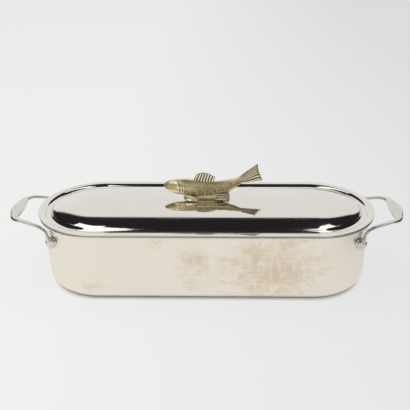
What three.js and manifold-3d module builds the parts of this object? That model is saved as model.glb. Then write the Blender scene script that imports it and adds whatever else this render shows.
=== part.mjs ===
// Fish poacher: a long pan with rounded ends and two cast loop handles, an arched lid with a
// knob cast as a fish, and a perforated rack inside that is lifted out by two folding bails.
// Millimetres, +Z up. The origin is on the floor under the middle of the pan, X runs along
// the pan towards its right end, and the front is -Y. The fish's head points to the left.

import * as THREE from 'three';
import { mergeVertices } from 'three/addons/utils/BufferGeometryUtils.js';
import Module from 'manifold-3d';

// Clearances
const seatGap = 0.3; // between pieces that rest on or in each other
const shankClearance = 0.3; // round a rivet or screw in its hole

// Pan
const rimLength = 456; // over the rim
const rimWidth = 169; // over the rim
const panHeight = 101; // floor to the top of the rim
const panWall = 2.5; // sheet thickness, walls and bottom
const bottomRadius = 18; // outside, between wall and bottom
const flareWidth = 6; // from the wall's top out to the rim's edge
const flareRadius = 3.5; // outside, under the rim
const wallLean = 2.9; // how far each wall leans out from bottom to top

// Lid
const lidSheet = 1.5;
const lidOverhang = 0.5; // past the pan's rim
const hemThickness = 2.5; // the border's edge, folded under
const hemWidth = 4.5;
const flangeWidth = 5.5; // flat border that rests on the rim
const rollWidth = 5.1; // curved step from the flange down into the groove
const grooveDepth = 3;
const grooveWidth = 7.2; // flat floor between the step and the shoulder
const shoulderWidth = 2.2; // steep step from the groove up to the crown
const shoulderRise = 4.2;
const crownRise = 13; // ridge of the crown above the flange

// Handles
const gripReach = 29; // grip's centre line out from the rim's end, at the grip's ends
const gripBow = 1.5; // how much further out the middle of the grip stands
const gripHalf = 34.5; // middle of the grip to the corner, along Y
const gripWidth = 18; // at its middle
const gripEndWidth = 12;
const gripThickness = 4.6;
const gripBelowRim = 0.6; // grip's centre line under the top of the rim
const cornerRadius = 12; // plan radius between grip and leg
const legWidth = 6;
const legThickness = 3.8;
const legRise = 7; // straight part of the leg above the foot's centre
const legLean = 20; // degrees, from upright towards the grip's middle, along that part
const legKnee = 11; // how softly the leg leaves the wall
const legSpring = 34; // how softly the leg meets the grip
const legFall = 5; // fall of the leg along that stretch
const legTwist = 0.625; // share of the leg along which its face turns from outwards to down
const sectionPower = 0.8; // 1 gives the strip an oval section, less a squarer one
const footAngle = 38; // degrees round the end wall, from the X axis
const footDrop = 26.7; // centre of the foot under the top of the rim
const footTilt = 30; // degrees, the rivet away from the grip's middle higher
const footThickness = 3.4;
const footEar = 5.6; // radius round each rivet
const footTongue = 3; // how far the foot's middle hangs below its ears
const footNeck = 2; // how far the foot's middle rises above its ears
const footBevel = 1; // round the foot's outer edge
const strapWidth = 8.4; // the leg's end, which runs down over the foot to a rounded tongue
const strapFall = 10; // tongue's end below the foot's centre
const strapLift = 1.8; // how far the back of the strap stands off the foot's back

// Rivets, two in each foot
const rivetSpacing = 20;
const rivetShank = 2.4; // radius
const rivetHead = 4; // radius of the outside head
const rivetDome = 2.2; // height of the outside head
const rivetInnerHead = 4.4; // radius
const rivetInnerHeight = 1.3;

// Knob, a fish: X is measured from the middle of the lid, heights from the knob's flat base
const baseLength = 44;
const baseCentre = 2;
const baseWidth = 10;
const baseTop = 11; // how far the base reaches up into the belly
const finRoot = 1.6; // half thickness of a fin where it leaves the body
const finTip = 0.8; // half thickness at a fin's edge
const tailRoot = 3;
const tailTip = 1.1;
const rayDepth = 0.35; // share of a fin's thickness that the grooves between its rays take

// Knob screws and washers
const screwSpacing = 28;
const screwShank = 2.4; // radius
const screwGrip = 7; // how far a screw reaches into the knob
const screwHead = 4.5; // radius
const screwHeadHeight = 2.8;
const screwChamfer = 1; // at the shank's tip
const screwRelief = 1; // from the shank's tip to the hole's end
const washerRadius = 6.5;
const washerThickness = 1;

// Rack
const rackGap = 5; // between the rack's edge and the pan's wall
const rackSheet = 1.2;
const rackEdge = 5; // depth of the turned-down edge
const rackBend = 2.5; // outside radius of that edge
const rackHole = 5; // radius
const rackPitch = 29; // between neighbouring holes
const rackBorder = 9; // from the rack's edge to the nearest hole

// Rack feet, strips bent to a hat section
const footStrip = 1.5; // thickness
const footHeight = 18;
const footWidth = 12;
const footBottom = 16;
const footFlange = 9;
const footBend = 3; // outside radius
const rackFootX = 132;
const rackFootY = 42;

// Rack bails and the clips in which they swing
const wireRadius = 2;
const bailReach = 52; // swing axis to the middle of the cross bar
const bailHalf = 40; // middle of the bail to the middle of an arm
const bailAxisX = 148;
const bailCorner = 12;
const bailElbow = 5;
const bailPin = 14; // arm to the pin's end
const clipSheet = 1.2;
const clipWidth = 8;
const clipFlange = 5;
const clipInset = 8; // arm to the middle of the clip
const wireClearance = 0.3;

// Fineness of the curves
const endSegments = 20; // round each end of the pan, the lid and the rack
const crownSegments = 5; // from the lid's ridge to the shoulder
const rollSegments = 3; // in the step down from the flange
const legStations = 7;
const cornerStations = 3;
const gripStations = 3;
const roundSegments = 10; // round a rivet, a screw or a washer
const wireSegments = 8;
const sectionPoints = 10; // round a handle
const bodyPoints = 16; // round the fish

const straight = rimLength - rimWidth; // length of the pan's straight sides
const wallSlope = wallLean / panHeight;
const lidTop = panHeight + seatGap + hemThickness; // top of the lid's flange
const crownTop = lidTop + crownRise;
const lidRadius = rimWidth / 2 + lidOverhang;
const stepStart = lidRadius - flangeWidth;
const stepEnd = stepStart - rollWidth;
const shoulderFoot = stepEnd - grooveWidth;
const crownFoot = shoulderFoot - shoulderWidth;
const crownDrop = crownRise + grooveDepth - shoulderRise;
const crownRadius = (crownFoot ** 2 + crownDrop ** 2) / (2 * crownDrop);
const degrees = THREE.MathUtils.degToRad;
const lerp = THREE.MathUtils.lerp;
const vec = (x, y, z) => new THREE.Vector3(x, y, z);

const wasm = await Module();
wasm.setup();

// A geometry from corners and triangles, with equal corners joined, empty triangles left out
// and every face turned outwards.
function closedMesh(corners, triangles) {
  const soup = new THREE.BufferGeometry();
  const numbers = corners.flatMap((p) => [p.x, p.y, p.z]);
  soup.setAttribute('position', new THREE.Float32BufferAttribute(numbers, 3));
  soup.setIndex(triangles.flat());
  const merged = mergeVertices(soup, 1e-3);
  const index = merged.index.array;
  const position = merged.attributes.position;
  const kept = [];
  let volume = 0;
  for (let i = 0; i < index.length; i += 3) {
    const [a, b, c] = index.slice(i, i + 3);
    if (a === b || b === c || c === a) continue;
    kept.push([a, b, c]);
    const [p, q, r] = [a, b, c].map((k) => vec().fromBufferAttribute(position, k));
    volume += p.dot(q.cross(r));
  }
  merged.setIndex((volume < 0 ? kept.map(([a, b, c]) => [a, c, b]) : kept).flat());
  return merged;
}

// A skin over a row of rings that all have the same even number of points. The row is closed
// on itself, ends in flat faces, or ends in rings that have shrunk to a line or a point.
function loft(rings, ends = 'flat') {
  const count = rings[0].length;
  const triangles = [];
  const quad = (a, b, c, d) => triangles.push([a, b, c], [a, c, d]);
  const spans = ends === 'loop' ? rings.length : rings.length - 1;
  for (let i = 0; i < spans; i += 1) {
    const here = i * count;
    const next = ((i + 1) % rings.length) * count;
    for (let j = 0; j < count; j += 1) {
      const k = (j + 1) % count;
      quad(here + j, here + k, next + k, next + j);
    }
  }
  if (ends === 'flat') {
    const last = (rings.length - 1) * count;
    for (let j = 0; j < count / 2 - 1; j += 1) {
      const across = count - 1 - j;
      quad(j, across, across - 1, j + 1);
      quad(last + j, last + j + 1, last + across - 1, last + across);
    }
  }
  return closedMesh(rings.flat(), triangles);
}

function solidOf(geometry) {
  const bare = geometry.clone();
  bare.deleteAttribute('normal');
  bare.deleteAttribute('uv');
  const merged = mergeVertices(bare, 1e-4);
  return new wasm.Manifold(new wasm.Mesh({
    numProp: 3,
    vertProperties: new Float32Array(merged.attributes.position.array),
    triVerts: new Uint32Array(merged.index.array),
  }));
}

function geometryOf(solid) {
  const mesh = solid.getMesh();
  const geometry = new THREE.BufferGeometry();
  geometry.setAttribute('position', new THREE.BufferAttribute(new Float32Array(mesh.vertProperties), 3));
  geometry.setIndex(new THREE.BufferAttribute(new Uint32Array(mesh.triVerts), 1));
  return geometry;
}

// The first geometry joined with the others, less the cutters.
function joined(pieces, cutters = []) {
  let solid = solidOf(pieces[0]);
  for (const piece of pieces.slice(1)) solid = solid.add(solidOf(piece));
  for (const cutter of cutters) solid = solid.subtract(solidOf(cutter));
  return geometryOf(solid);
}

// A revolved solid whose axis is +Z. Its profile is a list of [radius, height] that starts
// and ends on the axis, or closes on itself.
function turned(profile, segments = roundSegments) {
  const points = profile.map(([radius, height]) => new THREE.Vector2(radius, height));
  const lathe = new THREE.LatheGeometry(points, segments);
  lathe.deleteAttribute('normal');
  lathe.deleteAttribute('uv');
  lathe.rotateX(Math.PI / 2);
  const position = lathe.attributes.position;
  const index = Array.from(lathe.index.array);
  const cornerAt = (_, i) => vec().fromBufferAttribute(position, i);
  const corners = Array.from({ length: position.count }, cornerAt);
  const triangles = [];
  for (let i = 0; i < index.length; i += 3) triangles.push(index.slice(i, i + 3));
  return closedMesh(corners, triangles);
}

function rod(radius, bottom, top) {
  return turned([[0, bottom], [radius, bottom], [radius, top], [0, top]]);
}

// A flat outline given a depth along +Z.
function extruded(outline, depth) {
  return new THREE.ExtrudeGeometry(outline, { depth, bevelEnabled: false, curveSegments: 4 });
}

// Points along an arc in a profile, as [distance, height].
function arc(centre, height, radius, from, to, steps) {
  const curve = new THREE.EllipseCurve(centre, height, radius, radius, from, to, to < from);
  return curve.getPoints(steps).map((p) => [p.x, p.y]);
}

// The pan's outline in plan at a distance from its central line, counter-clockwise. The
// corners round each end stand out a little, so that the flats between them stand in as much.
function racetrack(distance, height) {
  const points = [];
  const middleFlat = Math.cos(Math.PI / endSegments / 2);
  for (const end of [1, -1]) {
    for (let i = 0; i <= endSegments; i += 1) {
      const angle = Math.PI * (i / endSegments - 0.5);
      const inside = i > 0 && i < endSegments;
      const radius = inside ? (distance * 2) / (1 + middleFlat) : distance;
      const x = end * (straight / 2 + radius * Math.cos(angle));
      points.push(vec(x, end * radius * Math.sin(angle), height));
    }
  }
  return points;
}

// A profile of [distance, height] swept round the racetrack.
function swept(profile, ends) {
  return loft(profile.map(([distance, height]) => racetrack(distance, height)), ends);
}

// A line of [x, z] moved sideways by an amount, with its corners kept sharp.
function offset(line, amount) {
  const normalAt = (i) => {
    const [x0, z0] = line[i];
    const [x1, z1] = line[i + 1];
    const length = Math.hypot(x1 - x0, z1 - z0);
    return [(z1 - z0) / length, (x0 - x1) / length];
  };
  return line.map(([x, z], i) => {
    const [ax, az] = normalAt(Math.max(i - 1, 0));
    const [bx, bz] = normalAt(Math.min(i, line.length - 2));
    const share = amount / (1 + ax * bx + az * bz);
    return [x + share * (ax + bx), z + share * (az + bz)];
  });
}

// Outside radius of the end wall at a height.
function wallRadius(height) {
  return rimWidth / 2 - flareWidth - wallSlope * (panHeight - height);
}

// A point on the end wall at a handle's foot. u runs round the wall away from the handle's
// middle, v runs up, and depth stands out from the wall. front is -1 or 1, as is end.
function onFoot(end, front, u, v, depth) {
  const height = panHeight - footDrop + v;
  const radius = wallRadius(height) + depth;
  const angle = degrees(footAngle) + u / wallRadius(panHeight - footDrop);
  const x = end * (straight / 2 + radius * Math.cos(angle));
  return vec(x, front * radius * Math.sin(angle), height);
}

// A rivet's place on its foot: side is -1 for the lower one, 1 for the higher, outer one.
function rivetSpot(end, front, side) {
  const tilt = degrees(footTilt);
  const u = (side * rivetSpacing * Math.cos(tilt)) / 2;
  const v = (side * rivetSpacing * Math.sin(tilt)) / 2;
  const place = onFoot(end, front, u, v, 0);
  const outward = onFoot(end, front, u, v, 1).sub(place);
  outward.z = -wallSlope;
  return { place, outward: outward.normalize() };
}

function turnTo(direction) {
  return new THREE.Quaternion().setFromUnitVectors(vec(0, 0, 1), direction);
}

function rivetHoles(ends) {
  const reach = panWall + footThickness + rivetHead;
  const holes = [];
  for (const end of ends) {
    for (const front of [-1, 1]) {
      for (const side of [-1, 1]) {
        const { place, outward } = rivetSpot(end, front, side);
        const hole = rod(rivetShank + shankClearance, -reach, reach);
        hole.applyQuaternion(turnTo(outward));
        holes.push(hole.translate(place.x, place.y, place.z));
      }
    }
  }
  return holes;
}

// Pan: one drawn shell, with the wall's lean tangent to the bottom corner and to the flare
// under the rim. Inside and outside share the arcs' centres, so the sheet is even.
function panGeometry() {
  const lean = Math.atan(wallSlope);
  const cornerX = wallRadius(0) - (bottomRadius * (1 - Math.sin(lean))) / Math.cos(lean);
  const flareZ = panHeight - panWall - flareRadius;
  const flareX = wallRadius(0) + (flareRadius + flareZ * Math.sin(lean)) / Math.cos(lean);
  const edge = panWall / 2;
  const edgeX = rimWidth / 2 - edge;
  const profile = [
    [0, 0],
    ...arc(cornerX, bottomRadius, bottomRadius, -Math.PI / 2, -lean, 5),
    ...arc(flareX, flareZ, flareRadius, Math.PI - lean, Math.PI / 2, 2),
    ...arc(edgeX, panHeight - edge, edge, -Math.PI / 2, Math.PI / 2, 2),
    ...arc(flareX, flareZ, flareRadius + panWall, Math.PI / 2, Math.PI - lean, 3),
    ...arc(cornerX, bottomRadius, bottomRadius - panWall, -lean, -Math.PI / 2, 4),
    [0, panWall],
  ];
  return joined([swept(profile, 'shrunk')], rivetHoles([1, -1]));
}

// Lid: crown, shoulder, groove, curved step and flange in one line.
function lidProfile() {
  const footSlope = Math.asin(crownFoot / crownRadius);
  const middle = crownTop - crownRadius;
  const crown = arc(0, middle, crownRadius, Math.PI / 2, Math.PI / 2 - footSlope, crownSegments);
  const roll = Array.from({ length: rollSegments + 1 }, (_, i) => {
    const t = i / rollSegments;
    return [lerp(stepEnd, stepStart, t), lidTop - grooveDepth * (1 - t) ** 3];
  });
  return [...crown, [shoulderFoot, lidTop - grooveDepth], ...roll];
}

// The lid's underside follows the same line a sheet lower, and steps down to the hem, whose
// edge is half round.
function lidGeometry() {
  const upper = lidProfile();
  const lower = offset(upper, lidSheet).map(([x, z]) => [Math.max(0, x), z]);
  const edge = hemThickness / 2;
  const hem = [
    [lidRadius - hemWidth, lidTop - lidSheet],
    [lidRadius - hemWidth, lidTop - hemThickness],
    ...arc(lidRadius - edge, lidTop - edge, edge, -Math.PI / 2, Math.PI / 2, 2),
  ];
  const shell = swept([...lower, ...hem, ...upper.reverse()], 'shrunk');
  const holes = screwPlaces().map((x) => {
    return rod(screwShank + shankClearance, lidTop, crownTop + lidSheet).translate(x, 0, 0);
  });
  return joined([shell], holes);
}

// Handle: a strip that starts as a rounded tongue on the foot, runs up flat on the wall,
// bends outwards, turns the corner and widens into the flat grip. Stations run from the front
// tongue to the grip's middle.
function halfHandle() {
  const gripZ = panHeight - gripBelowRim;
  const gripX = rimLength / 2 + gripReach;
  const standOff = seatGap + strapLift + legThickness / 2;
  const lean = degrees(legLean);
  const root = onFoot(1, -1, 0, 0, standOff);
  const knee = onFoot(1, -1, -legRise * Math.sin(lean), legRise * Math.cos(lean), standOff);
  const upwards = knee.clone().sub(root).normalize();
  const outwards = onFoot(1, -1, 0, 0, standOff + 1).sub(root).setZ(0).normalize();
  const corner = vec(gripX, -gripHalf, gripZ);
  const along = vec(corner.x - knee.x, corner.y - knee.y, 0).normalize();
  const legEnd = corner.clone().addScaledVector(along, -cornerRadius);
  const gripStart = vec(gripX, -gripHalf + cornerRadius, gripZ);
  const beforeEnd = legEnd.clone().addScaledVector(along, -legSpring).setZ(legEnd.z - legFall);
  const afterKnee = knee.clone().addScaledVector(upwards, legKnee);
  const leg = new THREE.CubicBezierCurve3(knee, afterKnee, beforeEnd, legEnd);
  const bend = new THREE.QuadraticBezierCurve3(legEnd, corner, gripStart);
  const down = vec(0, 0, -1);
  const stations = [];
  const add = (centre, width, thickness, face) => stations.push({ centre, width, thickness, face });
  for (const rise of [0.1, 0.35, 1]) {
    const thickness = lerp(0.7, 1, rise) * legThickness;
    const height = (rise * strapWidth) / 2 - strapFall;
    const centre = onFoot(1, -1, 0, height, seatGap + strapLift * rise + thickness / 2);
    add(centre, strapWidth * Math.sqrt(1 - (1 - rise) ** 2), thickness, outwards);
  }
  add(root, strapWidth, legThickness, outwards);
  for (let i = 0; i <= legStations; i += 1) {
    const t = i / legStations;
    const face = outwards.clone().lerp(down, Math.min(1, t / legTwist)).normalize();
    add(leg.getPoint(t), lerp(strapWidth, legWidth, Math.min(1, 2 * t)), legThickness, face);
  }
  for (let i = 1; i <= cornerStations; i += 1) {
    const t = i / cornerStations;
    add(bend.getPoint(t), lerp(legWidth, gripEndWidth, t), lerp(legThickness, gripThickness, t), down);
  }
  for (let i = 1; i <= gripStations; i += 1) {
    const t = i / gripStations;
    const swell = Math.sin((t * Math.PI) / 2);
    const centre = vec(gripX + gripBow * swell, gripStart.y * (1 - t), gripZ);
    add(centre, lerp(gripEndWidth, gripWidth, swell), gripThickness, down);
  }
  return stations;
}

function mirroredY(point) {
  return vec(point.x, -point.y, point.z);
}

function handleLoop() {
  const front = halfHandle();
  const back = front.slice(0, -1).reverse().map((s) => {
    return { ...s, centre: mirroredY(s.centre), face: mirroredY(s.face) };
  });
  const stations = [...front, ...back];
  const rings = stations.map(({ centre, width, thickness, face }, i) => {
    const before = stations[Math.max(i - 1, 0)].centre;
    const after = stations[Math.min(i + 1, stations.length - 1)].centre;
    const along = after.clone().sub(before).normalize();
    const normal = face.clone().addScaledVector(along, -face.dot(along)).normalize();
    const across = along.clone().cross(normal);
    return Array.from({ length: sectionPoints }, (_, k) => {
      const angle = (2 * Math.PI * (k + 0.5)) / sectionPoints;
      const flat = Math.sign(Math.cos(angle)) * Math.abs(Math.cos(angle)) ** sectionPower;
      const high = Math.sign(Math.sin(angle)) * Math.abs(Math.sin(angle)) ** sectionPower;
      return centre.clone()
        .addScaledVector(across, (width / 2) * flat)
        .addScaledVector(normal, (thickness / 2) * high);
    });
  });
  return loft(rings);
}

// A foot: a plate that follows the wall under the strap, with an ear round each rivet and its
// outer edge rounded. Its middle is higher, and hangs lower, than the ears.
function footPlate(front) {
  const half = rivetSpacing / 2;
  const tilt = degrees(footTilt);
  const ear = [1, 0.93, 0.75, 0.4, 0].map((t) => -half - footEar * t);
  const spread = [...ear, ...[-0.65, -0.3, 0].map((t) => t * half)];
  const places = [...spread, ...spread.slice(0, -1).reverse().map((p) => -p)];
  const rings = places.map((p) => {
    const past = Math.max(0, Math.abs(p) - half) / footEar;
    const round = footEar * Math.sqrt(Math.max(0, 1 - past * past));
    const middle = Math.cos((Math.min(1, Math.abs(p) / half) * Math.PI) / 2) ** 2;
    const low = -round - footTongue * middle;
    const high = round + footNeck * middle;
    const bevel = Math.min(footBevel, round / 2);
    const section = [
      [low, 0], [high, 0], [high, footThickness - bevel],
      [high - bevel, footThickness], [low + bevel, footThickness], [low, footThickness - bevel],
    ];
    return section.map(([q, depth]) => {
      const u = p * Math.cos(tilt) - q * Math.sin(tilt);
      const v = p * Math.sin(tilt) + q * Math.cos(tilt);
      return onFoot(1, front, u, v, seatGap + depth);
    });
  });
  return loft(rings, 'shrunk');
}

function handleGeometry() {
  return joined([handleLoop(), footPlate(-1), footPlate(1)], rivetHoles([1]));
}

// Rivet: its axis points out of the wall, and 0 is the wall's outside.
function rivetGeometry() {
  const under = footThickness + 2 * seatGap;
  const inside = -panWall - seatGap;
  const dome = [0.35, 0.7].map((t) => {
    return [rivetHead * Math.cos((t * Math.PI) / 2), under + rivetDome * Math.sin((t * Math.PI) / 2)];
  });
  return turned([
    [0, inside - rivetInnerHeight],
    [rivetInnerHead * 0.6, inside - rivetInnerHeight * 0.9],
    [rivetInnerHead, inside - rivetInnerHeight * 0.3],
    [rivetInnerHead, inside],
    [rivetShank, inside],
    [rivetShank, under],
    [rivetHead, under],
    ...dome,
    [0, under + rivetDome],
  ]);
}

// Knob. The body's sections are [x, centre height, half height, half width].
const bodySections = [
  [-56.4, 19, 0.8, 0.8],
  [-55, 19, 3.1, 2.9],
  [-49, 18.6, 7.2, 6],
  [-42, 17.6, 9.7, 8],
  [-33, 17, 11.1, 9.6],
  [-23, 16.3, 11.7, 10.4],
  [-13, 15.3, 11.4, 10.4],
  [-3, 14.7, 10.9, 10],
  [8, 14.6, 10.3, 9.3],
  [18, 15.7, 9.6, 8.4],
  [28, 17.8, 8.9, 7.2],
  [37, 21.3, 7.6, 5.6],
  [44, 25.2, 6.4, 4],
  [50, 29.3, 5.4, 2.6],
];

function fishBody() {
  const rings = bodySections.map(([x, height, high, wide]) => {
    return Array.from({ length: bodyPoints }, (_, k) => {
      const angle = (2 * Math.PI * k) / bodyPoints;
      return vec(x, wide * Math.cos(angle), height + high * Math.sin(angle));
    });
  });
  return loft(rings);
}

// A fin spread between a root line and an outer line, with a ridge for each ray.
function fin(root, edge, rays, side, rootHalf, edgeHalf) {
  const inner = new THREE.CatmullRomCurve3(root.map((p) => vec(...p)));
  const outer = new THREE.CatmullRomCurve3(edge.map((p) => vec(...p)));
  const rings = [0, 0.35, 0.7, 1].map((t) => {
    const here = [];
    for (let i = 0; i <= 2 * rays; i += 1) {
      const s = i / (2 * rays);
      const middle = inner.getPoint(s).lerp(outer.getPoint(s), t);
      const groove = i % 2 === 0 ? rayDepth : 0;
      here.push({ middle, half: lerp(rootHalf, edgeHalf, t) * (1 - groove) });
    }
    return [
      ...here.map(({ middle, half }) => middle.clone().addScaledVector(side, half)),
      ...here.reverse().map(({ middle, half }) => middle.clone().addScaledVector(side, -half)),
    ];
  });
  return loft(rings);
}

function dorsalFin() {
  const root = [[-15.5, 0, 24.5], [-3, 0, 24], [9.5, 0, 22.5]];
  const edge = [[-10.4, 0, 35.7], [-5, 0, 37.3], [1, 0, 36.8], [7, 0, 34.6], [12.6, 0, 31.4]];
  return fin(root, edge, 6, vec(0, 1, 0), finRoot, finTip);
}

function tailFin() {
  const root = [[45, 0, 31.5], [45.5, 0, 26], [46, 0, 21.5]];
  const edge = [[69.4, 0, 50.5], [70.2, 0, 44], [71.6, 0, 37.4], [76.5, 0, 26.6]];
  return fin(root, edge, 7, vec(0, 1, 0), tailRoot, tailTip);
}

// The paired fins, behind the gills and in front of the tail, spread down to the base.
function pectoralFin(front) {
  const root = [[-30.5, front * 6.5, 9], [-21, front * 6.5, 8], [-12, front * 4.5, 7]];
  const edge = [[-26.5, front * 8.6, 3.4], [-18.5, front * 8, 1.7], [-9.6, front * 6.8, 1.1]];
  return fin(root, edge, 4, vec(0, front * 0.8, -0.6), finRoot, finTip);
}

function analFin(front) {
  const root = [[11, front * 4.4, 3], [20, front * 4.2, 8], [30.5, front * 3.2, 11.5]];
  const edge = [[12.5, front * 5.4, 1.1], [22, front * 5.2, 1.1], [31.8, front * 4.2, 1.1]];
  return fin(root, edge, 4, vec(0, front, 0), finRoot, finTip);
}

function fishBase() {
  const outline = new THREE.Shape();
  const reach = (baseLength - baseWidth) / 2;
  outline.absarc(baseCentre + reach, 0, baseWidth / 2, -Math.PI / 2, Math.PI / 2, false);
  outline.absarc(baseCentre - reach, 0, baseWidth / 2, Math.PI / 2, (3 * Math.PI) / 2, false);
  return extruded(outline, baseTop);
}

function screwPlaces() {
  return [baseCentre - screwSpacing / 2, baseCentre + screwSpacing / 2];
}

function fishGeometry() {
  const paired = [-1, 1].flatMap((front) => [pectoralFin(front), analFin(front)]);
  const holes = screwPlaces().map((x) => {
    return rod(screwShank + shankClearance, -screwRelief, screwGrip + screwRelief).translate(x, 0, 0);
  });
  return joined([fishBody(), fishBase(), dorsalFin(), tailFin(), ...paired], holes);
}

// Height of the lid's underside in the middle, under the knob.
const crownUnder = crownTop - lidSheet;

// Screw: its axis is +Z, and 0 is the face of its head that meets the washer.
function screwGeometry() {
  const top = seatGap + washerThickness + seatGap + lidSheet + seatGap + screwGrip;
  return turned([
    [0, -screwHeadHeight],
    [screwHead * 0.7, -screwHeadHeight],
    [screwHead, -screwHeadHeight * 0.55],
    [screwHead, 0],
    [screwShank, 0],
    [screwShank, top - screwChamfer],
    [screwShank - screwChamfer, top],
    [0, top],
  ]);
}

function washerGeometry() {
  const inner = screwShank + shankClearance;
  return turned([
    [inner, 0], [washerRadius, 0], [washerRadius, washerThickness], [inner, washerThickness], [inner, 0],
  ]);
}

// Rack: a perforated plate with a turned-down edge.
const footTopZ = panWall + seatGap + footHeight;
const rackBottomZ = footTopZ + seatGap;
const rackTopZ = rackBottomZ + rackSheet;
const rackRadius = wallRadius(bottomRadius) - panWall - rackGap;

function rackHoles() {
  const rowStep = (rackPitch * Math.sqrt(3)) / 2;
  const limit = rackRadius - rackBorder - rackHole;
  const rows = Math.floor(limit / rowStep);
  const holes = [];
  for (let row = -rows; row <= rows; row += 1) {
    const shift = row % 2 === 0 ? 0 : rackPitch / 2;
    const columns = Math.ceil(rimLength / rackPitch / 2);
    for (let column = -columns; column <= columns; column += 1) {
      const x = column * rackPitch + shift;
      const y = row * rowStep;
      const beyond = Math.hypot(Math.max(0, Math.abs(x) - straight / 2), y);
      if (beyond <= limit && !underFixing(x, y)) holes.push([x, y]);
    }
  }
  return holes;
}

// True where a hole would break into the seat of a clip or of a foot.
function underFixing(x, y) {
  const clipX = wireRadius + wireClearance + clipSheet + clipFlange + rackHole;
  const clipY = clipWidth / 2 + rackHole;
  const nearClip = Math.abs(Math.abs(x) - bailAxisX) < clipX
    && Math.abs(Math.abs(y) - bailHalf + clipInset) < clipY;
  const nearFoot = Math.abs(Math.abs(x) - rackFootX) < footBottom / 2 + footFlange + rackHole
    && Math.abs(Math.abs(y) - rackFootY) < footWidth / 2 + rackHole;
  return nearClip || nearFoot;
}

function rackGeometry() {
  const inner = rackRadius - rackBend;
  const border = racetrack(inner - rackSheet, 0);
  const outline = new THREE.Shape(border.map(({ x, y }) => new THREE.Vector2(x, y)));
  for (const [x, y] of rackHoles()) {
    const hole = new THREE.Path();
    hole.absarc(x, y, rackHole, 0, 2 * Math.PI, true);
    outline.holes.push(hole);
  }
  const plate = extruded(outline, rackSheet).translate(0, 0, rackBottomZ);
  const bendZ = rackTopZ - rackBend;
  const edge = swept([
    [inner - 2 * rackSheet, rackBottomZ],
    ...arc(inner, bendZ, rackBend - rackSheet, Math.PI / 2, 0, 2),
    [rackRadius - rackSheet, rackTopZ - rackEdge],
    [rackRadius, rackTopZ - rackEdge],
    ...arc(inner, bendZ, rackBend, 0, Math.PI / 2, 3),
    [inner - 2 * rackSheet, rackTopZ],
  ], 'loop');
  return joined([plate, edge]);
}

// A strip of even thickness bent along a line of [x, z] corners, extruded along Y.
function bentStrip(corners, thickness, width, bend) {
  const line = rounded(corners, bend - thickness / 2);
  const left = offset(line, thickness / 2);
  const right = offset(line, -thickness / 2);
  const around = [...left, ...right.reverse()];
  const outline = new THREE.Shape(around.map(([x, z]) => new THREE.Vector2(x, z)));
  return extruded(outline, width).rotateX(Math.PI / 2).translate(0, width / 2, 0);
}

// A line of corners with each inner corner replaced by an arc of the radius given.
function rounded(corners, radius) {
  const points = [corners[0]];
  for (let i = 1; i < corners.length - 1; i += 1) {
    const here = new THREE.Vector2(...corners[i]);
    const back = new THREE.Vector2(...corners[i - 1]).sub(here).normalize();
    const ahead = new THREE.Vector2(...corners[i + 1]).sub(here).normalize();
    const half = Math.acos(back.dot(ahead)) / 2;
    const cut = radius / Math.tan(half);
    const start = here.clone().addScaledVector(back, cut);
    const end = here.clone().addScaledVector(ahead, cut);
    const curve = new THREE.QuadraticBezierCurve(start, here, end);
    points.push(...curve.getPoints(3).map((p) => [p.x, p.y]));
  }
  points.push(corners[corners.length - 1]);
  return points;
}

// Rack foot: a strip in a hat section, its flanges up under the rack.
function rackFootGeometry() {
  const half = footStrip / 2;
  const legX = footBottom / 2 - half;
  const end = footBottom / 2 + footFlange;
  const high = footHeight - half;
  const corners = [[-end, high], [-legX, high], [-legX, half], [legX, half], [legX, high], [end, high]];
  return bentStrip(corners, footStrip, footWidth, footBend);
}

// Clip: a strip bent over the bail's pin, with a flange each side on the rack.
function clipGeometry() {
  const inner = wireRadius + wireClearance;
  const outer = inner + clipSheet;
  const flange = outer + clipFlange;
  const outline = new THREE.Shape();
  outline.moveTo(-flange, 0);
  outline.lineTo(-inner, 0);
  outline.lineTo(-inner, inner);
  outline.absarc(0, inner, inner, Math.PI, 0, true);
  outline.lineTo(inner, 0);
  outline.lineTo(flange, 0);
  outline.lineTo(flange, clipSheet);
  outline.lineTo(outer, clipSheet);
  outline.lineTo(outer, inner);
  outline.absarc(0, inner, outer, 0, Math.PI, false);
  outline.lineTo(-outer, clipSheet);
  outline.lineTo(-flange, clipSheet);
  return extruded(outline, clipWidth).rotateX(Math.PI / 2).translate(0, clipWidth / 2, 0);
}

// Bail: a round wire in a flat U whose ends turn in to make the pins. Its swing axis is Y
// through the origin, and it lies towards -X.
function bailGeometry() {
  const corners = [
    [0, bailHalf - bailPin], [0, bailHalf], [-bailReach, bailHalf],
    [-bailReach, -bailHalf], [0, -bailHalf], [0, bailPin - bailHalf],
  ];
  const radii = [bailElbow, bailCorner, bailCorner, bailElbow];
  const line = [vec(...corners[0], 0)];
  for (let i = 1; i < corners.length - 1; i += 1) {
    const here = vec(...corners[i], 0);
    const start = here.clone().add(vec(...corners[i - 1], 0).sub(here).setLength(radii[i - 1]));
    const end = here.clone().add(vec(...corners[i + 1], 0).sub(here).setLength(radii[i - 1]));
    line.push(...new THREE.QuadraticBezierCurve3(start, here, end).getPoints(4));
  }
  line.push(vec(...corners[corners.length - 1], 0));
  const rings = line.map((centre, i) => {
    const before = line[Math.max(i - 1, 0)];
    const after = line[Math.min(i + 1, line.length - 1)];
    const along = after.clone().sub(before).normalize();
    const across = along.clone().cross(vec(0, 0, 1));
    return Array.from({ length: wireSegments }, (_, k) => {
      const angle = (2 * Math.PI * (k + 0.5)) / wireSegments;
      return centre.clone()
        .addScaledVector(across, wireRadius * Math.cos(angle))
        .addScaledVector(vec(0, 0, 1), wireRadius * Math.sin(angle));
    });
  });
  return loft(rings);
}

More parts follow.
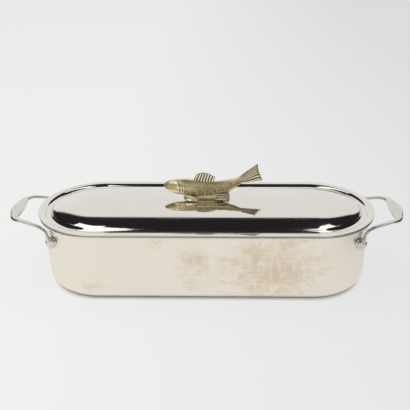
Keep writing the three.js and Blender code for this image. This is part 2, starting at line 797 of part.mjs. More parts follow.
// Finishes
const satinSteel = { color: 0xd9d0c4, roughness: 0.38, metalness: 1 };
const mirrorSteel = { color: 0xdedcd6, roughness: 0.06, metalness: 1 };
const castSteel = { color: 0xd6d3cb, roughness: 0.3, metalness: 1 };
const brass = { color: 0xb3a47c, roughness: 0.36, metalness: 1 };
const rackSteel = { color: 0xc9c8c4, roughness: 0.28, metalness: 1 };

function part(name, geometry, finish) {
  const mesh = new THREE.Mesh(geometry, new THREE.MeshStandardMaterial(finish));
  mesh.name = name;
  return mesh;
}

function panAssembly() {
  const group = new THREE.Group();
  group.add(part('pan', panGeometry(), satinSteel));
  group.add(part('handle_right', handleGeometry(), castSteel));
  const left = part('handle_left', handleGeometry(), castSteel);
  left.rotation.z = Math.PI;
  group.add(left);
  for (const [endName, end] of [['left', -1], ['right', 1]]) {
    for (const [frontName, front] of [['front', -1], ['back', 1]]) {
      for (const [sideName, side] of [['lower', -1], ['upper', 1]]) {
        const { place, outward } = rivetSpot(end, front, side);
        const rivet = part(`rivet_${endName}_${frontName}_${sideName}`, rivetGeometry(), castSteel);
        rivet.position.copy(place);
        rivet.quaternion.copy(turnTo(outward));
        group.add(rivet);
      }
    }
  }
  return group;
}

function lidAssembly() {
  const group = new THREE.Group();
  group.add(part('lid', lidGeometry(), mirrorSteel));
  const fish = part('fish_knob', fishGeometry(), brass);
  fish.position.z = crownTop + seatGap;
  group.add(fish);
  const names = ['head', 'tail'];
  screwPlaces().forEach((x, i) => {
    const washer = part(`knob_washer_${names[i]}`, washerGeometry(), rackSteel);
    const washerZ = crownUnder - seatGap - washerThickness;
    washer.position.set(x, 0, washerZ);
    const screw = part(`knob_screw_${names[i]}`, screwGeometry(), rackSteel);
    screw.position.set(x, 0, washerZ - seatGap);
    group.add(washer, screw);
  });
  return group;
}

function rackAssembly() {
  const group = new THREE.Group();
  group.add(part('rack_plate', rackGeometry(), rackSteel));
  const axisZ = rackTopZ + seatGap + wireRadius + wireClearance;
  for (const [endName, end] of [['left', -1], ['right', 1]]) {
    const bail = part(`rack_bail_${endName}`, bailGeometry(), rackSteel);
    bail.position.set(end * bailAxisX, 0, axisZ);
    bail.rotation.z = end > 0 ? 0 : Math.PI;
    group.add(bail);
    for (const [frontName, front] of [['front', -1], ['back', 1]]) {
      const clip = part(`rack_clip_${endName}_${frontName}`, clipGeometry(), rackSteel);
      clip.position.set(end * bailAxisX, front * (bailHalf - clipInset), rackTopZ + seatGap);
      const foot = part(`rack_foot_${endName}_${frontName}`, rackFootGeometry(), rackSteel);
      foot.position.set(end * rackFootX, front * rackFootY, panWall + seatGap);
      group.add(clip, foot);
    }
  }
  return group;
}

const fishPoacher = new THREE.Group();
fishPoacher.add(panAssembly(), rackAssembly(), lidAssembly());

export default fishPoacher;
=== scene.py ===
"""A fish poacher in a plain studio, built round its CAD frame.

The long pan has rounded ends and two cast loop handles. Its arched lid carries a knob cast as
a fish, and a perforated rack with two folding bails lies inside. Metres, +Z up, front at -Y.
"""

import math

import bmesh
import bpy
import numpy as np
from bpy.props import FloatProperty, FloatVectorProperty, IntProperty, PointerProperty
from mathutils import Matrix, Vector

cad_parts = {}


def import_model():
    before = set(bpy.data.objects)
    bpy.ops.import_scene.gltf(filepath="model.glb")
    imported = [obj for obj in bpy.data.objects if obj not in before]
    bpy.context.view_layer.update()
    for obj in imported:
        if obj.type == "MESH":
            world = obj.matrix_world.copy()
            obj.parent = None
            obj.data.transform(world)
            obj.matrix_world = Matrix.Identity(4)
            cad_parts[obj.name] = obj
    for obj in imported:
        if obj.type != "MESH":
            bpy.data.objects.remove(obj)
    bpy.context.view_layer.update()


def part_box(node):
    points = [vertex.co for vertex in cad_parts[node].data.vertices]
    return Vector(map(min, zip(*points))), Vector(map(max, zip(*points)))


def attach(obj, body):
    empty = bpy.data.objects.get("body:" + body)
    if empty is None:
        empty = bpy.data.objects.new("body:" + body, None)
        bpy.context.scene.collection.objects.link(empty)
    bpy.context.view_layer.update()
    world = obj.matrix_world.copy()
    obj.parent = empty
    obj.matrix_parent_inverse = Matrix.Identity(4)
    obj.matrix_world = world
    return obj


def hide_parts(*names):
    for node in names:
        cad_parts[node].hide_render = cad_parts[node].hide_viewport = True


bl_info = {
    "name": "Fish Poacher",
    "version": (1, 0, 0),
    "blender": (4, 5, 0),
    "location": "View3D > Sidebar > Poacher",
    "description": "Builds a long lidded fish pan, its fish knob, loop handles and lift-out rack",
    "category": "Add Mesh",
}

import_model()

MM = 0.001
SEAT_GAP = 0.3 * MM
QUARTER = math.pi / 2
ENDS = {"left": -1, "right": 1}
SIDES = {"front": -1, "back": 1}


def box_size(node):
    """Length, width and height of a CAD node's box."""
    low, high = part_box(node)
    return high - low


# Properties


def length(name, description, default):
    """A property that holds a length."""
    return FloatProperty(
        name=name, description=description, default=default, min=0.0, precision=5, unit="LENGTH"
    )


def angle(name, description, degrees):
    """A property that holds an angle."""
    return FloatProperty(
        name=name, description=description, default=math.radians(degrees), unit="ROTATION"
    )


def share(name, description, default):
    """A property that holds a number from 0 to 1."""
    return FloatProperty(
        name=name, description=description, default=default, min=0.0, max=1.0, subtype="FACTOR"
    )


def colour(name, description, default):
    """A property that holds a linear colour."""
    return FloatVectorProperty(
        name=name, description=description, default=default, size=3, min=0.0, max=1.0,
        subtype="COLOR",
    )


class PanSettings(bpy.types.PropertyGroup):
    """Sizes and finish of the pan."""

    straight: length("Straight", "Length of the straight sides", 0.287)
    width: length("Width", "Width over the rim", box_size("pan").y)
    height: length("Height", "Floor to the top of the rim", box_size("pan").z)
    sheet: length("Sheet", "Thickness of the wall and bottom", 0.0025)
    bottom_radius: length("Bottom Radius", "Outside radius between wall and bottom", 0.018)
    flare_width: length("Flare Width", "From the top of the wall out to the rim's edge", 0.006)
    flare_radius: length("Flare Radius", "Outside radius under the rim", 0.0035)
    lean: length("Lean", "How far each wall leans out from bottom to top", 0.0029)
    steel: colour("Steel", "Colour of the clean steel", (0.97, 0.91, 0.805))
    stain: colour("Stain", "Colour of the heat stains", (0.78, 0.62, 0.42))
    stain_amount: share("Stain Amount", "How strongly the heat stains show", 0.75)
    roughness: share("Roughness", "Roughness of the brushed steel", 0.36)
    segments: IntProperty(name="Segments", description="Round each end", default=56, min=8)


class LidSettings(bpy.types.PropertyGroup):
    """Sizes and finish of the lid."""

    sheet: length("Sheet", "Thickness of the lid", 0.0015)
    hem: length("Hem", "Thickness of the border's folded edge", 0.0025)
    hem_width: length("Hem Width", "Width of the folded edge", 0.0045)
    overhang: length("Overhang", "How far the lid stands past the rim", 0.0005)
    flange: length("Flange", "Width of the flat border on the rim", 0.0055)
    roll: length("Roll", "Width of the curved step into the groove", 0.0051)
    groove_depth: length("Groove Depth", "Flange down to the groove's floor", 0.003)
    groove_width: length("Groove Width", "Flat floor between step and shoulder", 0.0072)
    shoulder_width: length("Shoulder Width", "Steep step up to the crown", 0.0022)
    shoulder_rise: length("Shoulder Rise", "Height of that step", 0.0042)
    crown_rise: length("Crown Rise", "Ridge of the crown above the flange", 0.013)
    steel: colour("Steel", "Colour of the polished steel", (0.85, 0.82, 0.765))
    roughness: share("Roughness", "Roughness of the polished steel", 0.035)


class HandleSettings(bpy.types.PropertyGroup):
    """Sizes and finish of the loop handles and their rivets."""

    reach: length("Reach", "Rim's end to the grip's centre line", 0.029)
    bow: length("Bow", "How much further out the grip's middle stands", 0.0015)
    half: length("Half Width", "Middle of the grip to its corner", 0.0345)
    grip_width: length("Grip Width", "Width of the grip's middle", 0.018)
    end_width: length("End Width", "Width of the grip's ends", 0.012)
    grip_thickness: length("Grip Thickness", "Thickness of the grip", 0.0046)
    below_rim: length("Below Rim", "Grip's centre line under the top of the rim", 0.0006)
    corner: length("Corner", "Radius between grip and leg", 0.012)
    leg_width: length("Leg Width", "Width of the leg", 0.006)
    leg_thickness: length("Leg Thickness", "Thickness of the leg", 0.0038)
    leg_lean: angle("Leg Lean", "Lean of the leg's foot towards the grip's middle", 20)
    foot_angle: angle("Foot Angle", "Round the end wall from the pan's long axis", 38)
    foot_drop: length("Foot Drop", "Foot's centre under the top of the rim", 0.0267)
    foot_tilt: angle("Foot Tilt", "Slope of the line through a foot's rivets", 30)
    foot_thickness: length("Foot Thickness", "Thickness of the foot", 0.003)
    foot_ear: length("Foot Ear", "Radius of the foot round each rivet", 0.005)
    strap_width: length("Strap Width", "Width of the tongue over the foot", 0.0084)
    strap_fall: length("Strap Fall", "Tongue's end under the foot's centre", 0.010)
    strap_lift: length("Strap Lift", "Back of the strap off the foot's back", 0.0018)
    rivet_spacing: length("Rivet Spacing", "Between a foot's two rivets", 0.020)
    rivet_head: length("Rivet Head", "Radius of a rivet's head", 0.004)
    rivet_dome: length("Rivet Dome", "Height of a rivet's head", 0.0022)
    steel: colour("Steel", "Colour of the cast steel", (0.80, 0.77, 0.72))
    roughness: share("Roughness", "Roughness of the cast steel", 0.15)
    fineness: length("Fineness", "Size of the mesh's faces", 0.00042)


class KnobSettings(bpy.types.PropertyGroup):
    """Sizes and finish of the fish knob."""

    base_length: length("Base Length", "Length of the flat base", 0.044)
    base_width: length("Base Width", "Width of the flat base", 0.010)
    base_offset: length("Base Offset", "Base's middle from the lid's middle", 0.002)
    screw_spacing: length("Screw Spacing", "Between the two screws", 0.028)
    mark_size: length("Mark Size", "Width of a raised scale mark", 0.0042)
    mark_height: length("Mark Height", "Height of a raised scale mark", 0.0014)
    fineness: length("Fineness", "Size of the mesh's faces", 0.00046)
    brass: colour("Brass", "Colour of the worn brass", (0.97, 0.83, 0.49))
    # The tarnish colour also paints shade along the flank and shadows beside the scale marks.
    tarnish_and_shade: colour("Tarnish", "Colour in the hollows", (0.20, 0.145, 0.06))
    bright: colour("Bright", "Colour of the rubbed marks and rays", (1.0, 0.94, 0.70))
    roughness: share("Roughness", "Roughness of the satin brass", 0.31)


class RackSettings(bpy.types.PropertyGroup):
    """Sizes and finish of the rack, its feet, clips and bails."""

    gap: length("Gap", "Between the rack's edge and the pan's wall", 0.005)
    sheet: length("Sheet", "Thickness of the rack", 0.0012)
    edge: length("Edge", "Depth of the turned-down edge", 0.005)
    bend: length("Bend", "Outside radius of the edge", 0.0025)
    hole: length("Hole", "Radius of a hole", 0.005)
    pitch: length("Pitch", "Between neighbouring holes", 0.029)
    border: length("Border", "Rack's edge to the nearest hole", 0.009)
    wire: length("Wire", "Radius of the bails' wire", 0.002)
    steel: colour("Steel", "Colour of the rack's steel", (0.72, 0.71, 0.68))
    roughness: share("Roughness", "Roughness of the rack's steel", 0.24)


class StageSettings(bpy.types.PropertyGroup):
    """Floor, light and camera."""

    floor: colour("Floor", "Colour of the paper where light falls on it", (0.84, 0.84, 0.85))
    # The paper's tones at its two ends are painted light and shade: lighter at the left and
    # darker at the right, as if lit from the left.
    paper_lit_left: colour("Paper Left", "The paper's own tone at the left", (0.95, 0.95, 0.94))
    paper_shaded_right: colour("Paper Right", "The paper's own tone at the right", (0.81, 0.81, 0.82))
    paper_share: share("Paper Share", "Share of the paper's own tone", 0.78)
    wall: FloatProperty(name="Wall", description="Brightness of the pale backdrop", default=0.86)
    side_fall: share("Side Fall", "How much dimmer the paper's ends are in reflections", 0.8)
    glow: FloatProperty(name="Glow", description="The dark room near the floor", default=0.8)
    room: FloatProperty(name="Room", description="Brightness of the dark room", default=0.017)
    fill: FloatProperty(name="Fill", description="Brightness of the soft fill", default=0.42)
    box_light: FloatProperty(
        name="Softboxes", description="Brightness of the softboxes", default=1.25
    )
    focal: FloatProperty(name="Focal Length", description="Lens", default=61.32, unit="CAMERA")


class PoacherSettings(bpy.types.PropertyGroup):
    """All settings of the fish poacher."""

    pan: PointerProperty(type=PanSettings)
    lid: PointerProperty(type=LidSettings)
    handles: PointerProperty(type=HandleSettings)
    knob: PointerProperty(type=KnobSettings)
    rack: PointerProperty(type=RackSettings)
    stage: PointerProperty(type=StageSettings)


def settings_of(name):
    """One of the scene's groups of settings."""
    return getattr(bpy.context.scene.poacher, name)


# Node trees


class Nodes:
    """A node tree being built, with short ways to add and join nodes."""

    def __init__(self, tree):
        self.tree = tree

    def add(self, kind, inputs=None, **settings):
        """A new node. Inputs are given by name, index or identifier, as a value or a socket."""
        made = self.tree.nodes.new(kind)
        made.location = (190 * (len(self.tree.nodes) % 12), -260 * (len(self.tree.nodes) // 12))
        for name, value in settings.items():
            setattr(made, name, value)
        for key, value in (inputs or {}).items():
            self.join(value, self.input(made, key))
        return made

    @staticmethod
    def input(made, key):
        """The input socket with this index, identifier or name."""
        if isinstance(key, int):
            return made.inputs[key]
        for socket in made.inputs:
            if socket.identifier == key:
                return socket
        return made.inputs[key]

    def join(self, value, socket):
        """Feeds a socket or a plain value into an input."""
        if isinstance(value, bpy.types.NodeSocket):
            self.tree.links.new(value, socket)
        else:
            socket.default_value = value

    def math(self, operation, first, second=0.0, clamp=False):
        """One step of arithmetic."""
        made = self.add("ShaderNodeMath", {0: first, 1: second}, operation=operation)
        made.use_clamp = clamp
        return made.outputs[0]

    def plus(self, first, second, clamp=False):
        """The sum of two numbers."""
        return self.math("ADD", first, second, clamp)

    def less(self, first, second, clamp=False):
        """The first number less the second."""
        return self.math("SUBTRACT", first, second, clamp)

    def times(self, first, second, clamp=False):
        """The product of two numbers."""
        return self.math("MULTIPLY", first, second, clamp)

    def larger(self, first, second):
        """The larger of two numbers."""
        return self.math("MAXIMUM", first, second)

    def vector(self, x, y, z):
        """A vector from three numbers."""
        return self.add("ShaderNodeCombineXYZ", {0: x, 1: y, 2: z}).outputs[0]

    def split(self, vector):
        """The three numbers of a vector."""
        return self.add("ShaderNodeSeparateXYZ", {0: vector}).outputs

    def ramp(self, value, low, high, start=0.0, end=1.0, smooth=False):
        """A value mapped from low..high to start..end, and held there."""
        made = self.add(
            "ShaderNodeMapRange",
            {"Value": value, "From Min": low, "From Max": high, "To Min": start, "To Max": end},
        )
        made.interpolation_type = "SMOOTHSTEP" if smooth else "LINEAR"
        return made.outputs[0]


def geometry_tree(name, sockets):
    """A geometry tree with a geometry input and output and the other inputs named."""
    tree = bpy.data.node_groups.new(name, "GeometryNodeTree")
    tree.interface.new_socket("Geometry", in_out="INPUT", socket_type="NodeSocketGeometry")
    for label, kind, default in sockets:
        socket = tree.interface.new_socket(
            label, in_out="INPUT", socket_type="NodeSocket" + kind
        )
        if default is not None:
            socket.default_value = default
    tree.interface.new_socket("Geometry", in_out="OUTPUT", socket_type="NodeSocketGeometry")
    nodes = Nodes(tree)
    return nodes, nodes.add("NodeGroupInput").outputs, nodes.add("NodeGroupOutput").inputs


def end_tree(nodes, geometry, material, output):
    """Ends a geometry tree: real geometry, smooth faces, and its material."""
    real = nodes.add("GeometryNodeRealizeInstances", {"Geometry": geometry})
    smooth = nodes.add("GeometryNodeSetShadeSmooth", {"Geometry": real.outputs[0]})
    painted = nodes.add(
        "GeometryNodeSetMaterial", {"Geometry": smooth.outputs[0], "Material": material}
    )
    nodes.join(painted.outputs[0], output)


def sweep_tree():
    """A profile swept round a racetrack. The profile is a row of points in the XZ plane, X
    being the distance from the racetrack's middle line. With no straight it is a turning."""
    nodes, given, result = geometry_tree(
        "Racetrack Sweep",
        [
            ("Straight Length", "Float", 0.0),
            ("End Segments", "Int", 32),
            ("Material", "Material", None),
        ],
    )
    count = nodes.add("GeometryNodeAttributeDomainSize", {0: given["Geometry"]}).outputs[0]
    stops = nodes.plus(given["End Segments"], 1.0)
    columns = nodes.plus(nodes.times(stops, 2.0), 1.0)
    grid = nodes.add("GeometryNodeMeshGrid", {"Vertices X": columns, "Vertices Y": count})
    index = nodes.add("GeometryNodeInputIndex").outputs[0]
    column = nodes.math("FLOOR", nodes.math("DIVIDE", nodes.plus(index, 0.5), count))
    row = nodes.less(index, nodes.times(column, count))
    position = nodes.add("GeometryNodeInputPosition").outputs[0]
    sample = nodes.add(
        "GeometryNodeSampleIndex",
        {"Geometry": given["Geometry"], "Index": row},
        data_type="FLOAT_VECTOR",
    )
    nodes.join(position, sample.inputs["Value"])
    distance, _, height = nodes.split(sample.outputs["Value"])
    lap = nodes.math("MODULO", column, nodes.times(stops, 2.0))
    left = nodes.math("GREATER_THAN", lap, nodes.less(stops, 0.5))
    end = nodes.less(1.0, nodes.times(left, 2.0))
    stop = nodes.less(lap, nodes.times(left, stops))
    turn = nodes.less(nodes.math("DIVIDE", stop, given["End Segments"]), 0.5)
    phi = nodes.times(turn, math.pi)
    half = nodes.times(given["Straight Length"], 0.5)
    x = nodes.times(end, nodes.plus(half, nodes.times(distance, nodes.math("COSINE", phi))))
    y = nodes.times(nodes.times(distance, nodes.math("SINE", phi)), end)
    placed = nodes.add(
        "GeometryNodeSetPosition",
        {"Geometry": grid.outputs["Mesh"], "Position": nodes.vector(x, y, height)},
    )
    merged = nodes.add(
        "GeometryNodeMergeByDistance", {"Geometry": placed.outputs[0], "Distance": 2e-6}
    )
    end_tree(nodes, merged.outputs[0], given["Material"], result[0])
    return nodes.tree


def scatter_tree():
    """Copies of one shape on the points of a mesh. Each copy's Z turns to the point's "facing"
    attribute, and its X towards the point's "along"."""
    nodes, given, result = geometry_tree(
        "Scattered Shape", [("Shape", "Object", None), ("Material", "Material", None)]
    )
    shape = nodes.add("GeometryNodeObjectInfo", {"Object": given["Shape"]})
    facing, along = (
        nodes.add("GeometryNodeInputNamedAttribute", {"Name": label}, data_type="FLOAT_VECTOR")
        for label in ("facing", "along")
    )
    turned = nodes.add(
        "FunctionNodeAxesToRotation",
        {"Primary Axis": facing.outputs[0], "Secondary Axis": along.outputs[0]},
        primary_axis="Z",
        secondary_axis="X",
    )
    copies = nodes.add(
        "GeometryNodeInstanceOnPoints",
        {
            "Points": given["Geometry"],
            "Instance": shape.outputs["Geometry"],
            "Rotation": turned.outputs[0],
        },
    )
    end_tree(nodes, copies.outputs[0], given["Material"], result[0])
    return nodes.tree


def perforated_tree():
    """A plate less a round hole at each point of the input."""
    nodes, given, result = geometry_tree(
        "Perforated Plate",
        [
            ("Plate", "Object", None),
            ("Hole Radius", "Float", 0.005),
            ("Hole Segments", "Int", 28),
            ("Depth", "Float", 0.02),
            ("Material", "Material", None),
        ],
    )
    plate = nodes.add("GeometryNodeObjectInfo", {"Object": given["Plate"]})
    drill = nodes.add(
        "GeometryNodeMeshCylinder",
        {
            "Vertices": given["Hole Segments"],
            "Radius": given["Hole Radius"],
            "Depth": given["Depth"],
        },
    )
    drills = nodes.add(
        "GeometryNodeInstanceOnPoints",
        {"Points": given["Geometry"], "Instance": drill.outputs["Mesh"]},
    )
    real = nodes.add("GeometryNodeRealizeInstances", {"Geometry": drills.outputs[0]})
    cut = nodes.add("GeometryNodeMeshBoolean", operation="DIFFERENCE", solver="EXACT")
    nodes.join(plate.outputs["Geometry"], cut.inputs[0])
    nodes.join(real.outputs[0], cut.inputs[1])
    end_tree(nodes, cut.outputs[0], given["Material"], result[0])
    return nodes.tree


def wire_tree():
    """A round wire along the line of the input's edges."""
    nodes, given, result = geometry_tree(
        "Bent Wire",
        [
            ("Wire Radius", "Float", 0.002),
            ("Wire Segments", "Int", 20),
            ("Material", "Material", None),
        ],
    )
    line = nodes.add("GeometryNodeMeshToCurve", {0: given["Geometry"]})
    ring = nodes.add(
        "GeometryNodeCurvePrimitiveCircle",
        {"Resolution": given["Wire Segments"], "Radius": given["Wire Radius"]},
    )
    wire = nodes.add(
        "GeometryNodeCurveToMesh",
        {"Curve": line.outputs[0], "Profile Curve": ring.outputs[0], "Fill Caps": True},
    )
    end_tree(nodes, wire.outputs[0], given["Material"], result[0])
    return nodes.tree


# Meshes


def tree_named(name, build):
    """The node tree with this name, built once."""
    return bpy.data.node_groups.get(name) or build()


def new_object(name, vertices, edges=(), faces=()):
    """A new object at the origin."""
    mesh = bpy.data.meshes.new(name)
    mesh.from_pydata([tuple(v) for v in vertices], edges, faces)
    made = bpy.data.objects.new(name, mesh)
    bpy.context.scene.collection.objects.link(made)
    return made


def remove(obj):
    """Takes a helper object and its mesh out of the file."""
    mesh = obj.data
    bpy.data.objects.remove(obj)
    bpy.data.meshes.remove(mesh)


def settle(obj):
    """Replaces the object's mesh by what its modifiers make of it, and drops them."""
    depsgraph = bpy.context.evaluated_depsgraph_get()
    mesh = bpy.data.meshes.new_from_object(obj.evaluated_get(depsgraph), depsgraph=depsgraph)
    old = obj.data
    obj.modifiers.clear()
    obj.data = mesh
    bpy.data.meshes.remove(old)
    return obj


def run_tree(obj, tree, **values):
    """Runs a geometry tree on an object with its named inputs, and settles the result."""
    modifier = obj.modifiers.new(tree.name, "NODES")
    modifier.node_group = tree
    sockets = {
        item.name: item.identifier
        for item in tree.interface.items_tree
        if item.item_type == "SOCKET" and item.in_out == "INPUT"
    }
    for label, value in values.items():
        modifier[sockets[label.replace("_", " ")]] = value
    return settle(obj)


def outwards(obj):
    """Turns the faces of a closed mesh outwards."""
    shape = bmesh.new()
    shape.from_mesh(obj.data)
    if shape.calc_volume(signed=True) < 0:
        bmesh.ops.reverse_faces(shape, faces=shape.faces)
    shape.to_mesh(obj.data)
    shape.free()
    return obj


def shade(obj, degrees):
    """Smooth shading, with edges sharper than the angle kept crisp."""
    obj.data.shade_smooth()
    if degrees is not None:
        obj.data.set_sharp_from_angle(angle=math.radians(degrees))
    return obj


def row_of_points(name, profile):
    """An object whose mesh is a profile of [distance, height] as a row of joined points."""
    edges = [(i, i + 1) for i in range(len(profile) - 1)]
    return new_object(name, [(x, 0, z) for x, z in profile], edges)


def swept(name, profile, straight, segments, material, crease):
    """A closed shell: a profile swept round the racetrack."""
    made = run_tree(
        row_of_points(name, profile),
        tree_named("Racetrack Sweep", sweep_tree),
        Straight_Length=float(straight),
        End_Segments=segments,
        Material=material,
    )
    return shade(outwards(made), crease)


def scattered(name, shape, points, material):
    """Copies of a shape object at points, each a place, the way it faces and a way along."""
    made = new_object(name, [place for place, _, _ in points])
    for label, column in (("facing", 1), ("along", 2)):
        attribute = made.data.attributes.new(label, "FLOAT_VECTOR", "POINT")
        attribute.data.foreach_set("vector", [x for p in points for x in p[column]])
    run_tree(made, tree_named("Scattered Shape", scatter_tree), Shape=shape, Material=material)
    remove(shape)
    return made


def arc(centre_x, centre_z, radius, start, end, steps):
    """Points along an arc, as [distance, height]."""
    turns = [start + (end - start) * i / steps for i in range(steps + 1)]
    return [
        [centre_x + radius * math.cos(turn), centre_z + radius * math.sin(turn)]
        for turn in turns
    ]


def unit(vector):
    """The vector with a length of 1."""
    vector = np.array(vector, float)
    return vector / np.linalg.norm(vector)


def bezier(controls, steps):
    """Points along the curve with these control points."""
    made = []
    for t in np.linspace(0, 1, steps + 1):
        points = [np.array(p, float) for p in controls]
        while len(points) > 1:
            points = [a * (1 - t) + b * t for a, b in zip(points, points[1:])]
        made.append(points[0])
    return made


def rounded(before, here, after, reach, steps):
    """The curve that replaces a corner, from a reach before it to a reach after it."""
    before, here, after = (np.array(p, float) for p in (before, here, after))
    start = here + unit(before - here) * reach
    end = here + unit(after - here) * reach
    return bezier([start, here, end], steps)


def offset(line, amount):
    """A line of [x, z] moved sideways by an amount, with its corners kept."""
    points = np.array(line, float)
    steps = np.diff(points, axis=0)
    steps /= np.linalg.norm(steps, axis=1)[:, None]
    normals = np.column_stack([steps[:, 1], -steps[:, 0]])
    before = np.vstack([normals[:1], normals])
    after = np.vstack([normals, normals[-1:]])
    scale = amount / (1 + np.sum(before * after, axis=1))
    return (points + (before + after) * scale[:, None]).tolist()


def eased(line, reach, steps):
    """A line with each inner corner rounded from a reach before it to a reach after it."""
    made = [line[0]]
    for before, here, after in zip(line, line[1:], line[2:]):
        made += [p.tolist() for p in rounded(before, here, after, reach, steps)]
    return [*made, line[-1]]


def lofted(rings, flat_ends=True):
    """Vertices and faces of a skin over rings of equal length."""
    count = len(rings[0])
    vertices = [p for ring in rings for p in ring]
    faces = []
    for i in range(len(rings) - 1):
        here, ahead = i * count, (i + 1) * count
        for j in range(count):
            k = (j + 1) % count
            faces.append((here + j, here + k, ahead + k, ahead + j))
    if flat_ends:
        last = (len(rings) - 1) * count
        faces.append(tuple(reversed(range(count))))
        faces.append(tuple(range(last, last + count)))
    return vertices, faces


def closed_object(name, shells):
    """One object from closed shells, with doubles merged and faces outwards."""
    vertices, faces = [], []
    for shell_vertices, shell_faces in shells:
        start = len(vertices)
        vertices += [tuple(v) for v in shell_vertices]
        faces += [tuple(start + i for i in face) for face in shell_faces]
    made = new_object(name, vertices, (), faces)
    shape = bmesh.new()
    shape.from_mesh(made.data)
    bmesh.ops.remove_doubles(shape, verts=shape.verts, dist=1e-6)
    bmesh.ops.recalc_face_normals(shape, faces=shape.faces)
    shape.to_mesh(made.data)
    shape.free()
    return made


def cast(obj, fineness, rounds):
    """Fuses an object's shells into one skin with the soft inner corners of a casting."""
    remesh = obj.modifiers.new("Fuse", "REMESH")
    remesh.mode = "VOXEL"
    remesh.voxel_size = fineness
    smooth = obj.modifiers.new("Soften", "SMOOTH")
    smooth.factor = 0.5
    smooth.iterations = rounds
    return shade(settle(obj), None)


def painted(obj, material):
    """Gives an object one material."""
    obj.data.materials.clear()
    obj.data.materials.append(material)
    return obj


def mount(obj, body, slot, *nodes):
    """Puts a finished piece on its body in the place of its CAD nodes."""
    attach(obj, body)
    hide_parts(*nodes)


def corner_nodes(name):
    """The CAD names of four like pieces, one in each quarter of the plan."""
    return [f"{name}_{end}_{front}" for end in ENDS for front in SIDES]


# Finishes


def new_material(name, metallic=1.0):
    """A material with its nodes, its Principled shader and the object's coordinates."""
    material = bpy.data.materials.new(name)
    material.use_nodes = True
    nodes = Nodes(material.node_tree)
    shader = material.node_tree.nodes["Principled BSDF"]
    shader.inputs["Metallic"].default_value = metallic
    place = nodes.add("ShaderNodeTexCoord").outputs["Object"]
    return material, nodes, shader, place


def stretched(nodes, place, x, y, z):
    """Object coordinates scaled by a different number along each axis."""
    made = nodes.add("ShaderNodeVectorMath", {0: place, 1: (x, y, z)}, operation="MULTIPLY")
    return made.outputs[0]


def noise(nodes, place, scale, detail=3.0, roughness=0.5, distortion=0.0):
    """Noise from 0 to 1."""
    made = nodes.add(
        "ShaderNodeTexNoise",
        {
            "Vector": place,
            "Scale": scale,
            "Detail": detail,
            "Roughness": roughness,
            "Distortion": distortion,
        },
    )
    return made.outputs["Fac"]


def mixed(nodes, factor, first, second):
    """A colour between two."""
    made = nodes.add(
        "ShaderNodeMix",
        {"Factor_Float": factor, "A_Color": first, "B_Color": second},
        data_type="RGBA",
    )
    return made.outputs[2]


def bumped(nodes, height, distance, strength=1.0, base=None):
    """A normal bent by a height."""
    given = {"Strength": strength, "Distance": distance, "Height": height}
    if base is not None:
        given["Normal"] = base
    return nodes.add("ShaderNodeBump", given).outputs[0]


def opaque(rgb):
    """A colour with full alpha."""
    return (*rgb, 1.0)


def darker(rgb, amount):
    """A colour with full alpha, darker by a share."""
    return opaque(c * (1 - amount) for c in rgb)


def patch(nodes, parts, centre, reach):
    """1 at a centre in the X and Z of the object, falling to 0 at the reach."""
    across = nodes.math("DIVIDE", nodes.less(parts[0], centre[0]), reach[0])
    upward = nodes.math("DIVIDE", nodes.less(parts[2], centre[1]), reach[1])
    square = nodes.plus(nodes.times(across, across), nodes.times(upward, upward))
    return nodes.less(1.0, square, clamp=True)


def dress(nodes, shader, tint, roughness, normal):
    """Gives a shader its colour, roughness and bent normal."""
    nodes.join(tint, shader.inputs["Base Color"])
    nodes.join(roughness, shader.inputs["Roughness"])
    nodes.join(normal, shader.inputs["Normal"])


def scratches(nodes, place, scale, turn, width):
    """Thin lines at one angle, 1 on a line and 0 elsewhere."""
    turned = nodes.add(
        "ShaderNodeMapping",
        {"Vector": place, "Rotation": turn, "Scale": (scale, scale * 0.06, scale)},
    ).outputs[0]
    cells = nodes.add(
        "ShaderNodeTexVoronoi", {"Vector": turned, "Scale": 1.0}, feature="DISTANCE_TO_EDGE"
    )
    return nodes.ramp(cells.outputs["Distance"], 0.0, width, 1.0, 0.0)


# Heat stains on the pan's front: strength, centre and reach, in X and Z.
STAINS = [
    (1.0, (0.086, 0.050), (0.100, 0.072)),
    (0.9, (-0.014, 0.053), (0.034, 0.054)),
    (0.6, (-0.060, 0.088), (0.022, 0.014)),
    (0.6, (-0.155, 0.020), (0.030, 0.016)),
]


def heat_stain(nodes, place, amount):
    """How strongly the steel is stained: mottled where the stains lie, wiped in upright
    streaks, fainter on the back, and a breath of it elsewhere."""
    parts = nodes.split(place)
    clouds = noise(nodes, stretched(nodes, place, 34, 34, 60), 1.0, 4.0, 0.6, 0.5)
    mottle = noise(nodes, stretched(nodes, place, 110, 110, 360), 1.0, 6.0, 0.75, 0.4)
    streak = noise(nodes, stretched(nodes, place, 120, 120, 16), 1.0, 2.0, 0.5, 0.2)
    wiped = nodes.ramp(nodes.math("ABSOLUTE", nodes.less(streak, 0.5)), 0.01, 0.05, 0.5, 1.0)
    places = 0.0
    for strength, centre, reach in STAINS:
        here = nodes.times(patch(nodes, parts, centre, reach), strength)
        places = nodes.larger(places, here)
    places = nodes.times(places, nodes.ramp(parts[1], -0.05, 0.02, 1.0, 0.4))
    texture = nodes.plus(nodes.times(clouds, 0.7), nodes.times(mottle, 0.9))
    level = nodes.plus(texture, nodes.times(places, 0.42))
    stain = nodes.times(nodes.ramp(level, 0.92, 1.34, smooth=True), wiped)
    covered = nodes.times(stain, nodes.ramp(places, 0.0, 0.25), clamp=True)
    anywhere = nodes.ramp(clouds, 0.60, 0.78, 0.0, 0.18, smooth=True)
    return nodes.times(nodes.larger(covered, anywhere), amount)


